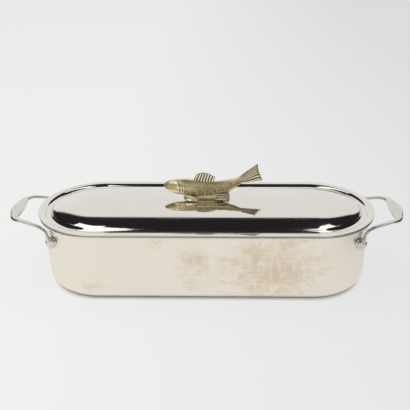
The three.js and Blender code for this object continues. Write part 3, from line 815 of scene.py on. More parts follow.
def pan_material(settings):
    """Brushed steel with level brush marks and heat stains."""
    material, nodes, shader, place = new_material("satin_pan_steel")
    fine = noise(nodes, stretched(nodes, place, 12, 12, 2600), 1.0, 2.0)
    streaks = noise(nodes, stretched(nodes, place, 16, 16, 420), 1.0, 4.0, 0.6)
    stain = heat_stain(nodes, place, settings.stain_amount)
    bright = nodes.ramp(streaks, 0.3, 0.7)
    steel = mixed(nodes, bright, darker(settings.steel, 0.035), opaque(settings.steel))
    tint = mixed(nodes, stain, steel, opaque(settings.stain))
    rough = nodes.plus(nodes.times(bright, 0.10), settings.roughness - 0.05)
    rough = nodes.plus(rough, nodes.times(stain, 0.12))
    lines = nodes.plus(fine, nodes.times(streaks, 0.6))
    dress(nodes, shader, tint, rough, bumped(nodes, lines, 0.06 * MM, 0.5))
    return material


def lid_material(settings):
    """Polished steel with wiping marks, faint smudges and hair scratches."""
    material, nodes, shader, place = new_material("mirror_lid_steel")
    smudge = noise(nodes, stretched(nodes, place, 14, 26, 20), 1.0, 5.0, 0.6, 0.8)
    dust = noise(nodes, place, 420.0, 2.0)
    hair = nodes.larger(
        scratches(nodes, place, 60.0, (0.0, 0.0, 0.5), 0.02),
        scratches(nodes, place, 44.0, (0.0, 0.0, 1.9), 0.02),
    )
    steel, polish = settings.steel, settings.roughness
    tint = mixed(nodes, nodes.ramp(smudge, 0.35, 0.7), opaque(steel), darker(steel, 0.03))
    rough = nodes.ramp(smudge, 0.35, 0.75, polish, polish + 0.05)
    rough = nodes.plus(rough, nodes.times(hair, 0.03))
    ripple = noise(nodes, place, 20.0, 1.0)
    wavy = bumped(nodes, ripple, 0.12 * MM, 0.25)
    dress(nodes, shader, tint, rough, bumped(nodes, dust, 0.01 * MM, 0.15, wavy))
    return material


def cast_material(name, steel, roughness):
    """Cast and tumbled steel, with a slightly uneven skin and patches of wear."""
    material, nodes, shader, place = new_material(name)
    skin = noise(nodes, place, 260.0, 4.0, 0.55)
    wear = noise(nodes, place, 70.0, 4.0, 0.6, 0.4)
    tint = mixed(nodes, nodes.ramp(wear, 0.3, 0.7), darker(steel, 0.14), opaque(steel))
    rough = nodes.ramp(wear, 0.3, 0.7, roughness - 0.06, roughness + 0.08)
    dress(nodes, shader, tint, rough, bumped(nodes, skin, 0.16 * MM, 0.4))
    return material


# What each point of the fish knows of itself, each from 0 to 1.
FISH_LABELS = ("hollow", "texture", "rubbed")


def brass_material(settings):
    """Satin brass, rubbed bright on the ridges and tarnished in the hollows, with painted shade
    along the middle of the flank and painted shadows beside the scale marks.
    """
    material, nodes, shader, place = new_material("worn_brass")
    hollow, rough_skin, rubbed = (
        nodes.add("ShaderNodeAttribute", attribute_name=label).outputs["Fac"]
        for label in FISH_LABELS
    )
    grain = noise(nodes, place, 900.0, 4.0, 0.6)
    blotch = noise(nodes, place, 90.0, 4.0, 0.6, 0.5)
    # The dark share is tarnish in the carved hollows plus painted shade and painted shadows.
    dark = nodes.plus(hollow, nodes.ramp(blotch, 0.45, 0.8, 0.0, 0.35), clamp=True)
    brass = mixed(nodes, dark, opaque(settings.brass), opaque(settings.tarnish_and_shade))
    brass = mixed(nodes, rubbed, brass, opaque(settings.bright))
    rough = nodes.plus(nodes.times(dark, 0.2), settings.roughness)
    rough = nodes.plus(rough, nodes.times(rough_skin, 0.15))
    rough = nodes.less(rough, nodes.times(rubbed, 0.12))
    skin = nodes.times(grain, nodes.ramp(rough_skin, 0.0, 1.0, 0.25, 1.0))
    dress(nodes, shader, brass, rough, bumped(nodes, skin, 0.22 * MM, 0.6))
    return material


def rack_material(name, steel, roughness):
    """Electropolished sheet or wire with water marks."""
    material, nodes, shader, place = new_material(name)
    water = noise(nodes, place, 40.0, 5.0, 0.6, 0.8)
    brush = noise(nodes, stretched(nodes, place, 30, 1500, 300), 1.0, 2.0)
    tint = mixed(nodes, nodes.ramp(water, 0.4, 0.7), opaque(steel), darker(steel, 0.1))
    rough = nodes.ramp(water, 0.35, 0.75, roughness, roughness + 0.14)
    dress(nodes, shader, tint, rough, bumped(nodes, brush, 0.04 * MM, 0.4))
    return material


# Pan and lid


def wall_radius(pan, height):
    """Outside radius of the end wall at a height."""
    return pan.width / 2 - pan.flare_width - pan.lean * (1 - height / pan.height)


def pan_profile(pan):
    """The pan's sheet in section, from the middle of its underside to that of its floor."""
    lean = math.atan(pan.lean / pan.height)
    foot = wall_radius(pan, 0)
    bottom = pan.bottom_radius
    corner_x = foot - bottom * (1 - math.sin(lean)) / math.cos(lean)
    flare_z = pan.height - pan.sheet - pan.flare_radius
    flare_x = foot + (pan.flare_radius + flare_z * math.sin(lean)) / math.cos(lean)
    edge = pan.sheet / 2
    return [
        [0, 0],
        *arc(corner_x, bottom, bottom, -QUARTER, -lean, 16),
        *arc(flare_x, flare_z, pan.flare_radius, math.pi - lean, QUARTER, 8),
        *arc(pan.width / 2 - edge, pan.height - edge, edge, -QUARTER, QUARTER, 8),
        *arc(flare_x, flare_z, pan.flare_radius + pan.sheet, QUARTER, math.pi - lean, 10),
        *arc(corner_x, bottom, bottom - pan.sheet, -lean, -QUARTER, 14),
        [0, pan.sheet],
    ]


def flange_level(lid):
    """Height of the lid's flat border."""
    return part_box("lid")[1].z - lid.crown_rise


def lid_line(lid):
    """The lid's upper side in section: crown, shoulder, groove and the step to its border."""
    top = flange_level(lid)
    floor = top - lid.groove_depth
    step_start = settings_of("pan").width / 2 + lid.overhang - lid.flange
    step_end = step_start - lid.roll
    shoulder = step_end - lid.groove_width
    foot = shoulder - lid.shoulder_width
    drop = lid.crown_rise + lid.groove_depth - lid.shoulder_rise
    radius = (foot**2 + drop**2) / (2 * drop)
    slope = math.asin(foot / radius)
    middle = top + lid.crown_rise - radius
    crown = arc(0, middle, radius, QUARTER, QUARTER - slope, 30)
    ahead = np.array([math.cos(slope), -math.sin(slope)])
    brow = np.array(crown[-1])
    step = bezier(
        [
            brow - 0.6 * MM * ahead,
            brow + 0.8 * MM * ahead,
            [shoulder + 0.2 * MM, floor],
            [shoulder + 1.6 * MM, floor],
        ],
        17,
    )
    roll = [
        [step_end + lid.roll * t, top - lid.groove_depth * (1 - t) ** 3]
        for t in np.linspace(0, 1, 15)
    ]
    return [*crown[:-2], *(p.tolist() for p in step), *roll]


def lid_profile(pan, lid):
    """The lid's sheet in section, with the hem folded under its edge."""
    upper = lid_line(lid)
    lower = offset(upper, lid.sheet)
    top, radius = flange_level(lid), pan.width / 2 + lid.overhang
    edge, fold = lid.sheet / 5, lid.hem / 2
    inner = radius - 1.8 * MM
    hem = [
        *arc(radius - edge, top - edge, edge, QUARTER, -QUARTER, 8),
        [inner, top - fold],
        *arc(inner - fold / 2, top - fold * 1.5, fold / 2, QUARTER / 2, -QUARTER, 6),
        [radius - lid.hem_width, top - lid.hem],
        [radius - lid.hem_width, top - lid.sheet],
    ]
    return on_axis([*upper, *hem, *lower[::-1]])


def on_axis(profile):
    """A profile with both its ends moved onto the axis."""
    profile[0][0] = profile[-1][0] = 0.0
    return profile


class POACHER_OT_pan(bpy.types.Operator):
    """Builds the pan's shell"""

    bl_idname = "poacher.build_pan"
    bl_label = "Pan"

    def execute(self, context):
        pan = settings_of("pan")
        steel = pan_material(pan)
        made = swept("pan_shell", pan_profile(pan), pan.straight, pan.segments, steel, 40)
        mount(made, "pan", "pan_steel", "pan")
        return {"FINISHED"}


class POACHER_OT_lid(bpy.types.Operator):
    """Builds the arched lid"""

    bl_idname = "poacher.build_lid"
    bl_label = "Lid"

    def execute(self, context):
        pan, lid = settings_of("pan"), settings_of("lid")
        steel, around = lid_material(lid), pan.segments + 16
        made = swept("lid_shell", lid_profile(pan, lid), pan.straight, around, steel, 40)
        mount(made, "lid", "lid_steel", "lid")
        return {"FINISHED"}


# Handles and rivets


def on_foot(end, front, u, v, depth):
    """A point on the end wall by a handle's foot: u runs round the wall away from the
    handle's middle, v runs up, and depth stands out from the wall."""
    pan, handle = settings_of("pan"), settings_of("handles")
    centre_z = pan.height - handle.foot_drop
    radius = wall_radius(pan, centre_z + v) + depth
    turn = handle.foot_angle + u / wall_radius(pan, centre_z)
    x = end * (pan.straight / 2 + radius * math.cos(turn))
    return np.array([x, front * radius * math.sin(turn), centre_z + v])


def bent_leg(handle):
    """Root, knee and corner of the front leg's centre line, with the way its root faces and
    the way the leg runs on to the corner."""
    pan = settings_of("pan")
    stand_off = SEAT_GAP + handle.strap_lift + handle.leg_thickness / 2
    lean, rise = handle.leg_lean, 7 * MM
    root = on_foot(1, -1, 0, 0, stand_off)
    knee = on_foot(1, -1, -rise * math.sin(lean), rise * math.cos(lean), stand_off)
    face = on_foot(1, -1, 0, 0, stand_off + MM) - root
    grip_x = pan.straight / 2 + pan.width / 2 + handle.reach
    corner = np.array([grip_x, -handle.half, pan.height - handle.below_rim])
    along = unit([corner[0] - knee[0], corner[1] - knee[1], 0])
    return root, knee, corner, unit([face[0], face[1], 0]), along


def handle_stations():
    """Centre, width, thickness and facing of the strip, from the front tongue to the middle
    of the right grip."""
    handle = settings_of("handles")
    thickness, strap, leg = handle.leg_thickness, handle.strap_width, handle.leg_width
    root, knee, corner, face, along = bent_leg(handle)
    down = np.array([0, 0, -1.0])
    leg_end = corner - along * handle.corner
    grip_start = corner + np.array([0, handle.corner, 0])
    knee_pull, end_pull, end_dip = 11 * MM, 34 * MM, 5 * MM
    after_knee = knee + unit(knee - root) * knee_pull
    before_end = leg_end - along * end_pull + down * end_dip
    stations = []
    for t in np.linspace(0.15, 1, 9) ** 2:
        thick = thickness * (0.7 + 0.3 * t)
        height = t * strap / 2 - handle.strap_fall
        depth = SEAT_GAP + handle.strap_lift * t + thick / 2
        width = strap * math.sqrt(1 - (1 - t) ** 2)
        stations.append((on_foot(1, -1, 0, height, depth), width, thick, face))
    stations.append((root, strap, thickness, face))
    steps = 25
    for i, centre in enumerate(bezier([knee, after_knee, before_end, leg_end], steps)):
        twist, narrow = min(1, 1.6 * i / steps), min(1, 2 * i / steps)
        turned = unit(face * (1 - twist) + down * twist)
        stations.append((centre, strap + (leg - strap) * narrow, thickness, turned))
    steps = 12
    for i, centre in enumerate(bezier([leg_end, corner, grip_start], steps)[1:], 1):
        width = leg + (handle.end_width - leg) * i / steps
        thick = thickness + (handle.grip_thickness - thickness) * i / steps
        stations.append((centre, width, thick, down))
    for t in np.linspace(0, 1, 15)[1:]:
        swell = math.sin(t * QUARTER)
        centre = np.array([corner[0] + handle.bow * swell, grip_start[1] * (1 - t), corner[2]])
        width = handle.end_width + (handle.grip_width - handle.end_width) * swell
        stations.append((centre, width, handle.grip_thickness, down))
    return stations


def squared(value):
    """A sine or cosine pushed outwards, which makes an oval section squarer."""
    return math.copysign(abs(value) ** 0.72, value)


def handle_loop():
    """The strip from foot to foot of the right handle."""
    front = handle_stations()
    flip = np.array([1, -1, 1])
    back = [(c * flip, w, t, f * flip) for c, w, t, f in front[-2::-1]]
    stations = front + back
    rings = []
    for i, (centre, width, thick, face) in enumerate(stations):
        before = stations[max(i - 1, 0)][0]
        after = stations[min(i + 1, len(stations) - 1)][0]
        along = unit(after - before)
        normal = unit(face - along * face.dot(along))
        across = np.cross(along, normal)
        ring = []
        for turn in np.linspace(0, 2 * math.pi, 28, endpoint=False):
            flat, high = squared(math.cos(turn)), squared(math.sin(turn))
            ring.append(centre + across * width / 2 * flat + normal * thick / 2 * high)
        rings.append(ring)
    return lofted(rings)


def foot_plate(front):
    """A foot of the right handle: a plate that follows the wall under the strap, with an ear
    round each rivet."""
    handle = settings_of("handles")
    half, ear, thick = handle.rivet_spacing / 2, handle.foot_ear, handle.foot_thickness
    tongue, neck, soft = 3 * MM, 2 * MM, 1.1 * MM
    tilt = handle.foot_tilt
    rings = []
    for s in np.linspace(-1, 1, 61):
        p = (half + ear) * math.sin(s * QUARTER)
        past = max(0, abs(p) - half) / ear
        round_ear = ear * math.sqrt(max(0, 1 - past**2))
        middle = math.cos(min(1, abs(p) / half) * QUARTER) ** 2
        low, high = -round_ear - tongue * middle, round_ear + neck * middle
        bevel = min(soft, round_ear / 2)
        section = [
            (low, 0.0),
            (high, 0.0),
            (high, thick - bevel),
            (high - bevel * 0.3, thick - bevel * 0.3),
            (high - bevel, thick),
            (low + bevel, thick),
            (low + bevel * 0.3, thick - bevel * 0.3),
            (low, thick - bevel),
        ]
        ring = []
        for q, depth in section:
            u = p * math.cos(tilt) - q * math.sin(tilt)
            v = p * math.sin(tilt) + q * math.cos(tilt)
            ring.append(on_foot(1, front, u, v, SEAT_GAP + depth))
        rings.append(ring)
    return lofted(rings, flat_ends=False)


class POACHER_OT_handles(bpy.types.Operator):
    """Builds the two cast loop handles"""

    bl_idname = "poacher.build_handles"
    bl_label = "Handles"

    def execute(self, context):
        handle = settings_of("handles")
        steel = cast_material("cast_handle_steel", handle.steel, handle.roughness)
        right = closed_object("loop_right", [handle_loop(), foot_plate(-1), foot_plate(1)])
        painted(cast(right, handle.fineness, 3), steel)
        left = new_object("loop_left", [])
        left.data = right.data.copy()
        left.data.transform(Matrix.Rotation(math.pi, 4, "Z"))
        mount(right, "pan", "handle_steel", "handle_right")
        mount(left, "pan", "handle_steel", "handle_left")
        return {"FINISHED"}


def rivet_points():
    """Place, axis and up of the eight rivets. The axis points out of the wall."""
    pan, handle = settings_of("pan"), settings_of("handles")
    half, tilt = handle.rivet_spacing / 2, handle.foot_tilt
    points = []
    for end in ENDS.values():
        for front in SIDES.values():
            for side in (-1, 1):
                u, v = side * half * math.cos(tilt), side * half * math.sin(tilt)
                place = on_foot(end, front, u, v, 0)
                out = on_foot(end, front, u, v, MM) - place
                out = unit([out[0], out[1], -MM * pan.lean / pan.height])
                points.append((place, out, (0, 0, 1)))
    return points


def domed(radius, rise, level, steps):
    """A rivet head in section: from the axis at its top down to its rim, which stands a
    little off the level. A negative rise makes the head point down."""
    rim = math.copysign(0.3 * MM, rise)
    return [
        [radius * math.sin(t), level + rim + (rise - rim) * math.cos(t)]
        for t in np.linspace(0, QUARTER, steps)
    ]


def rivet_profile(pan, handle):
    """A rivet in section, from the axis of its inner head to that of its outer head."""
    under = handle.foot_thickness + 2 * SEAT_GAP
    inside = -pan.sheet - SEAT_GAP
    head, shank, inner, inner_rise = handle.rivet_head, 2.4 * MM, 4.4 * MM, 1.3 * MM
    low = domed(inner, -inner_rise, inside, 8)
    top = domed(head, handle.rivet_dome, under, 10)[::-1]
    return on_axis([*low, [inner, inside], [shank, inside], [shank, under], [head, under], *top])


class POACHER_OT_rivets(bpy.types.Operator):
    """Builds the eight rivets of the handles"""

    bl_idname = "poacher.build_rivets"
    bl_label = "Rivets"

    def execute(self, context):
        pan, handle = settings_of("pan"), settings_of("handles")
        steel = cast_material("rivet_steel", handle.steel, handle.roughness - 0.06)
        shape = swept("rivet_shape", rivet_profile(pan, handle), 0.0, 16, steel, 40)
        made = scattered("rivets", shape, rivet_points(), steel)
        feet = corner_nodes("rivet")
        names = [f"{foot}_{level}" for foot in feet for level in ("lower", "upper")]
        mount(shade(made, 40), "pan", "rivet_steel", *names)
        return {"FINISHED"}


# Fish knob

# Sections of the fish's body in millimetres: x, height of the centre, half height, half width.
BODY = np.array([
    [-56.4, 19.0, 0.8, 0.8],
    [-55.6, 19.0, 2.2, 2.1],
    [-54.0, 18.95, 3.9, 3.6],
    [-49.0, 18.6, 7.2, 6.0],
    [-42.0, 17.6, 9.7, 8.0],
    [-33.0, 17.0, 11.1, 9.6],
    [-23.0, 16.3, 11.7, 10.4],
    [-13.0, 15.3, 11.4, 10.4],
    [-3.0, 14.7, 10.9, 10.0],
    [8.0, 14.6, 10.3, 9.3],
    [18.0, 15.7, 9.6, 8.4],
    [28.0, 17.8, 8.9, 7.2],
    [37.0, 21.3, 7.6, 5.6],
    [44.0, 25.2, 6.4, 4.0],
    [50.0, 29.3, 5.4, 2.6],
])

# The fish's side view in millimetres: the nose's X, the middles of the eye and of the gills'
# arcs in X and Z, and the radii of the gills' grooves and of the rubbed ridges between them.
NOSE = -56.4
EYE, GILLS = (-43.6, 20.6), (-47.5, 16.0)
GILL_GROOVES = (13.0, 16.7, 20.0)
GILL_RIDGES = (11.1, 14.9, 18.4)

# The eyeball's radius and how far it stands out, in millimetres.
EYEBALL, EYE_RISE = 1.5, 0.45

# Depth and width of the grooves that are carved into the fish, in millimetres.
MOUTH_CUT = (0.3, 0.4)
EYE_CUT = (0.22, 0.5)
GILL_CUT = (0.24, 0.6)
SEAM_CUT = (0.3, 0.55)

# Height of the crease along the back, as a share of the body's half height.
CREASE = 0.70


def rising(value, start, end):
    """0 on the near side of a start, 1 past an end, and even between the two."""
    return np.clip((value - start) / (end - start), 0, 1)


def eased_rows(table, where):
    """Rows of a table at new first-column values, on smooth curves through the table."""
    x, rows = table[:, 0], table[:, 1:]
    slopes = np.gradient(rows, x, axis=0)
    i = np.clip(np.searchsorted(x, where) - 1, 0, len(x) - 2)
    step = x[i + 1] - x[i]
    t = ((where - x[i]) / step)[:, None]
    step = step[:, None]
    return (
        rows[i] * (1 + 2 * t) * (1 - t) ** 2
        + slopes[i] * step * t * (1 - t) ** 2
        + rows[i + 1] * t * t * (3 - 2 * t)
        + slopes[i + 1] * step * t * t * (t - 1)
    )


def fish_body():
    """The fish's body, in millimetres."""
    where = np.unique(np.r_[np.linspace(NOSE, -50, 14), np.linspace(-50, 50, 90)])
    rings = []
    for x, (height, high, wide) in zip(where, eased_rows(BODY, where)):
        turns = np.linspace(0, 2 * math.pi, 48, endpoint=False)
        rings.append([(x, wide * math.cos(a), height + high * math.sin(a)) for a in turns])
    return lofted(rings)


def curve_through(points, count):
    """Points spread along a smooth curve through the given ones."""
    points = np.array(points, float)
    at = np.linspace(0, 1, len(points))
    return eased_rows(np.column_stack([at, points]), np.linspace(0, 1, count))


def fin(root, edge, rays, side, halves, depth=0.68):
    """A fin between a root line and an outer line, with a rounded ridge for each ray. Its half
    thickness goes from the first of the halves at the root to the second at the edge. Returns
    the skin, and how deep each of its points lies between the rays."""
    around = rays * 10 + 1
    inner, outer = curve_through(root, around), curve_through(edge, around)
    side = unit(side)
    ridge = np.abs(np.sin(np.linspace(0, rays, around) * math.pi)) ** 0.6
    between = rising(ridge, 0.9, 0.56) * min(1, depth / 0.5)
    rings = []
    spread = np.linspace(0, 1, 24)
    for t in spread:
        tip = 1 - 0.03 * (1 - ridge) * max(0, t - 0.8) / 0.2
        middle = inner + (outer - inner) * (t * tip)[:, None]
        half = (halves[0] + (halves[1] - halves[0]) * t) * (1 - depth * (1 - ridge))
        half = half * math.sqrt(max(0.12, 1 - max(0, (t - 0.9) / 0.1) ** 2))
        up = middle + side * half[:, None]
        down = middle - side * half[:, None]
        rings.append([*up, *down[::-1]])
    return lofted(rings), np.tile([*between, *between[::-1]], len(spread))


def fish_fins():
    """Dorsal fin, tail and the paired fins, in millimetres."""
    dorsal = fin(
        [[-18, 0, 23.5], [-3.5, 0, 22.5], [9.5, 0, 21.5]],
        [[-12, 0, 35.4], [-5, 0, 37.3], [1, 0, 36.8], [7, 0, 34.6], [12.6, 0, 31.4]],
        rays=7, side=(0, 1, 0), halves=(1.9, 0.8),
    )
    tail = fin(
        [[43, 0, 29.5], [43.5, 0, 26], [44, 0, 22.5]],
        [[69.4, 0, 50.5], [70.0, 0, 44], [71.8, 0, 37.4], [76.5, 0, 26.6]],
        rays=7, side=(0, 1, 0), halves=(2.6, 1.1),
    )
    made = [dorsal, tail]
    for front in SIDES.values():
        made.append(fin(
            [[-30, front * 6.5, 4], [-28.5, front * 7.4, 6], [-25, front * 8.2, 8]],
            [[-25, front * 11, 0.9], [-11, front * 13.5, 0.9], [-9.5, front * 11.5, 5.4]],
            rays=3, side=(0, front, 0.9), halves=(1.1, 0.7), depth=0.2,
        ))
        made.append(fin(
            [[11.5, front * 8.5, 1.2], [13.5, front * 7.8, 4.6], [17, front * 7.2, 8.6]],
            [[30.5, front * 12, 1.0], [32.4, front * 9, 5.6], [31.4, front * 5.6, 11]],
            rays=4, side=(0, front, 0.7), halves=(1.2, 0.8),
        ))
    return made


def fish_base(knob):
    """The base under the belly, a long oval that grows a little wider with its height before
    it meets the belly, in millimetres."""
    half = knob.base_width / MM / 2
    reach = (knob.base_length / MM) / 2 - half
    centre = knob.base_offset / MM
    rings = []
    for height, wider in ((0, 1.4), (1, 1.44), (4, 1.46), (8, 1.4), (12, 1.4)):
        ring = []
        for end in (1, -1):
            for a in np.linspace(-QUARTER, QUARTER, 17):
                x = centre + end * (reach + half * math.cos(a))
                ring.append((x, end * half * wider * math.sin(a), height))
        rings.append(ring)
    return lofted(rings)


def flank(x, height_share):
    """A point on the fish's front flank at a share of its half height, in millimetres, with
    the way it faces."""
    centre, high, wide = eased_rows(BODY, np.array([x]))[0]
    turn = math.asin(height_share)
    place = np.array([x, -wide * math.cos(turn), centre + high * math.sin(turn)])
    facing = unit([0, -math.cos(turn) / wide, math.sin(turn) / high])
    return place, facing


def mark_shape(knob):
    """A raised scale mark: a small crescent that bulges to the tail."""
    half, high = knob.mark_size / 2, knob.mark_height
    rings = []
    for turn in np.radians(np.linspace(-62, 62, 11)):
        centre = half * np.array([1.1 * math.cos(turn) - 0.8, 1.1 * math.sin(turn), 0])
        thick = half * (0.16 + 0.32 * math.cos(turn * 1.4))
        out = np.array([math.cos(turn), math.sin(turn), 0])
        rings.append([
            centre + out * math.cos(a) * thick + np.array([0, 0, math.sin(a) * high])
            for a in np.linspace(0, 2 * math.pi, 12, endpoint=False)
        ])
    return closed_object("mark_shape", [lofted(rings)])


# Scale marks on a flank in three rows: x in millimetres and share of the half height.
MARKS = [
    (-22.6, 0.36), (-10.9, 0.40), (-0.7, 0.42), (9.3, 0.42), (19.8, 0.42), (33.2, 0.55),
    (-16.5, 0.08), (-6.1, 0.03), (4.4, 0.0), (14.7, 0.0), (24.5, 0.05),
    (-20.9, -0.45), (-11.6, -0.48), (-1.0, -0.50), (10.3, -0.52),
]


def mark_points():
    """Places of the scale marks on both flanks."""
    points = []
    for x, share_of_height in MARKS:
        place, facing = flank(x, share_of_height)
        for front in SIDES.values():
            flip = np.array([1, -front, 1])
            points.append((place * flip * MM, facing * flip, (1, 0, 0)))
    return points


def groove(distance, width):
    """1 on a line and 0 past its width, smoothly."""
    return np.exp(-((distance / width) ** 2))


def record(mesh, **columns):
    """Writes a number for each point of a mesh under each name."""
    for label, values in columns.items():
        attribute = mesh.attributes.get(label) or mesh.attributes.new(label, "FLOAT", "POINT")
        attribute.data.foreach_set("value", np.asarray(values, np.float32))


def joined(name, objects, labels):
    """One object from several, with their points' numbers under the labels."""
    vertices, faces = [], []
    columns = {label: [] for label in labels}
    for obj in objects:
        mesh, start = obj.data, len(vertices)
        vertices += [tuple(v.co) for v in mesh.vertices]
        faces += [tuple(start + i for i in face.vertices) for face in mesh.polygons]
        for label, column in columns.items():
            given = mesh.attributes.get(label)
            column += [p.value for p in given.data] if given else [0.0] * len(mesh.vertices)
        remove(obj)
    made = new_object(name, vertices, (), faces)
    record(made.data, **columns)
    return made


def points_of(mesh):
    """Places and normals of a mesh's points."""
    place, normal = (np.zeros(len(mesh.vertices) * 3) for _ in range(2))
    mesh.vertices.foreach_get("co", place)
    mesh.vertices.foreach_get("normal", normal)
    return place.reshape(-1, 3), normal.reshape(-1, 3)


def gill_arcs(x, z, side, radii, width):
    """1 along arcs round the middle of the gills, where they show on the cheek."""
    away = np.hypot(x - GILLS[0], z - GILLS[1])
    cheek = rising(np.abs(z - GILLS[1]), 7.0, 5.2) * side * (x > -44)
    return sum(groove(away - radius, width) for radius in radii) * cheek


def cut(distance, size):
    """Depth of a groove at a distance from its line. The size is its depth and its width."""
    return size[0] * groove(distance, size[1])


def head_relief(x, z, side):
    """How deep the mouth, eyes, gills and the seam behind the head are carved."""
    back = x - NOSE
    lips = 16.6 - 0.10 * back - 0.012 * back**2
    mouth = cut(z - lips, MOUTH_CUT) * rising(x, -50.0, -51.5)
    eye = np.hypot(x - EYE[0], z - EYE[1])
    ball = EYE_RISE * np.clip(1 - (eye / EYEBALL) ** 2, 0, 1) ** 0.5
    ring = cut(eye - EYEBALL - 1.0, EYE_CUT)
    gills = GILL_CUT[0] * gill_arcs(x, z, side, GILL_GROOVES, GILL_CUT[1])
    seam = cut(x + 31.0 + (z - 18.0) * 0.75, SEAM_CUT) * rising(z, 18.0, 20.0)
    return mouth + gills + (ring - ball + seam) * side


def mark_shadows(x, z, side):
    """1 in the painted shadow in front of each scale mark."""
    painted_shadows = np.zeros(len(x))
    for mark_x, mark_level in MARKS:
        mark_z = flank(mark_x, mark_level)[0][2]
        painted_shadows += groove(np.hypot(x - mark_x + 0.9, z - mark_z), 1.8)
    return painted_shadows * side


def carve(mesh):
    """Carves the mouth, eyes, gills and the crease along the back into the fish, and records how
    tarnished or shaded, how rough and how rubbed each point is. The shade is painted: a dark band
    along the middle of the flank behind the head, and painted shadows beside the scale marks.
    Works in millimetres."""
    place, normal = points_of(mesh)
    x, y, z = place.T
    centre, high, wide = eased_rows(BODY, np.clip(x, NOSE + 0.1, BODY[-1, 0])).T
    level = (z - centre) / high
    shell = np.hypot(level, y / wide)
    on_body = rising(shell, 1.35, 1.2) * rising(x, 48, 44)
    side = np.clip(np.abs(y) / wide * 2.2, 0, 1)
    behind_head = rising(x, -30.5, -27.5)
    crease = groove(level - CREASE, 0.07) * behind_head
    depth = (head_relief(x, z, side) + 0.16 * crease) * on_body

    scaly = rising(level, CREASE, CREASE - 0.1) * behind_head
    rough = (scaly + rising(x, -44, -50)) * on_body
    rubbed = gill_arcs(x, z, side, GILL_RIDGES, 0.8) * on_body
    # Painted shade: a dark band along the middle of the flank in the tail half, and painted
    # shadows in front of the scale marks.
    tarnish_and_shade = 0.5 * groove(level - 0.05, 0.42) * rising(x, -20, -8) * on_body
    tarnish_and_shade += 0.3 * mark_shadows(x, z, side)
    hollow = np.clip(depth * 1.6 + tarnish_and_shade, 0, 1)
    record(mesh, hollow=hollow, texture=rough, rubbed=rubbed)
    mesh.vertices.foreach_set("co", (place - normal * depth[:, None]).ravel())
    mesh.update()


def shade_hollows(mesh, reach):
    """Adds to the dark share of tarnish and painted shade where the surface is concave, from the
    mean height of each point's neighbours."""
    place, normal = points_of(mesh)
    ends = np.zeros(len(mesh.edges) * 2, np.int32)
    mesh.edges.foreach_get("vertices", ends)
    ends = ends.reshape(-1, 2)
    degree = np.bincount(ends.ravel(), minlength=len(place))[:, None]
    spread = place.copy()
    for _ in range(6):
        total = np.zeros(place.shape)
        np.add.at(total, ends[:, 0], spread[ends[:, 1]])
        np.add.at(total, ends[:, 1], spread[ends[:, 0]])
        spread = total / degree
    sunk = np.sum((spread - place) * normal, axis=1) / reach
    hollow = np.zeros(len(place), np.float32)
    mesh.attributes["hollow"].data.foreach_get("value", hollow)
    record(mesh, hollow=np.clip(hollow + np.clip(sunk, 0, 1) * 0.8, 0, 1))


def fish_casting(knob, brass):
    """The whole fish in millimetres: body and base fused, fins, and marks on the flanks."""
    body = closed_object("body", [fish_body(), fish_base(knob)])
    cast(body, knob.fineness / MM, 2)
    carve(body.data)
    shade_hollows(body.data, 0.22)
    parts = [body]
    for (vertices, faces), hollows in fish_fins():
        made = outwards(new_object("fin", vertices, (), faces))
        record(made.data, hollow=hollows, rubbed=0.8 * rising(hollows, 0.45, 0))
        parts.append(made)
    marks = scattered("marks", mark_shape(knob), mark_points(), brass)
    marks.data.transform(Matrix.Scale(1 / MM, 4))
    record(marks.data, rubbed=np.ones(len(marks.data.vertices)))
    return joined("fish_casting", [*parts, marks], FISH_LABELS)


class POACHER_OT_knob(bpy.types.Operator):
    """Builds the knob cast as a fish"""

    bl_idname = "poacher.build_knob"
    bl_label = "Fish Knob"

    def execute(self, context):
        knob = settings_of("knob")
        brass = brass_material(knob)
        fish = fish_casting(knob, brass)
        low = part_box("fish_knob")[0].z
        fish.data.transform(Matrix.Translation((0, 0, low)) @ Matrix.Scale(MM, 4))
        mount(painted(shade(fish, None), brass), "lid", "knob_brass", "fish_knob")
        return {"FINISHED"}


def screw_profile():
    """A knob screw in section, from the recess in its head to its tip."""
    head, tip = (corner.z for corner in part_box("knob_screw_head"))
    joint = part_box("knob_washer_head")[0].z - SEAT_GAP
    shank, radius, recess = 2.4 * MM, 4.5 * MM, 1.2 * MM
    return [
        [0, head + recess],
        [2.0 * MM, head + recess],
        [2.3 * MM, head],
        [3.6 * MM, head],
        [4.3 * MM, head + 0.5 * MM],
        [radius, head + 1.3 * MM],
        [radius, joint - 0.15 * MM],
        [radius - 0.15 * MM, joint],
        [shank, joint],
        [shank, tip - MM],
        [shank - MM, tip],
        [0, tip],
    ]


def washer_profile():
    """A knob washer in section, once round."""
    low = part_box("knob_washer_head")[0].z
    high, bevel = low + MM, 0.3 * MM
    hole, outside = 2.7 * MM, 6.5 * MM
    return [
        [hole, low],
        [outside - bevel, low],
        [outside, low + bevel],
        [outside, high - bevel],
        [outside - bevel, high],
        [hole, high],
        [hole, low],
    ]


class POACHER_OT_knob_fixings(bpy.types.Operator):
    """Builds the screws and washers under the lid that hold the knob"""

    bl_idname = "poacher.build_knob_fixings"
    bl_label = "Knob Fixings"

    def execute(self, context):
        knob = settings_of("knob")
        steel = cast_material("machined_steel", settings_of("rack").steel, 0.2)
        places = [knob.base_offset + side * knob.screw_spacing / 2 for side in (-1, 1)]
        points = [((x, 0, 0), (0, 0, 1), (1, 0, 0)) for x in places]
        for node, profile in (("knob_screw", screw_profile()), ("knob_washer", washer_profile())):
            shape = swept(node + "_shape", profile, 0.0, 18, steel, 30)
            made = shade(scattered(node + "s", shape, points, steel), 30)
            mount(made, "lid", "screw_steel", node + "_head", node + "_tail")
        return {"FINISHED"}


# Rack

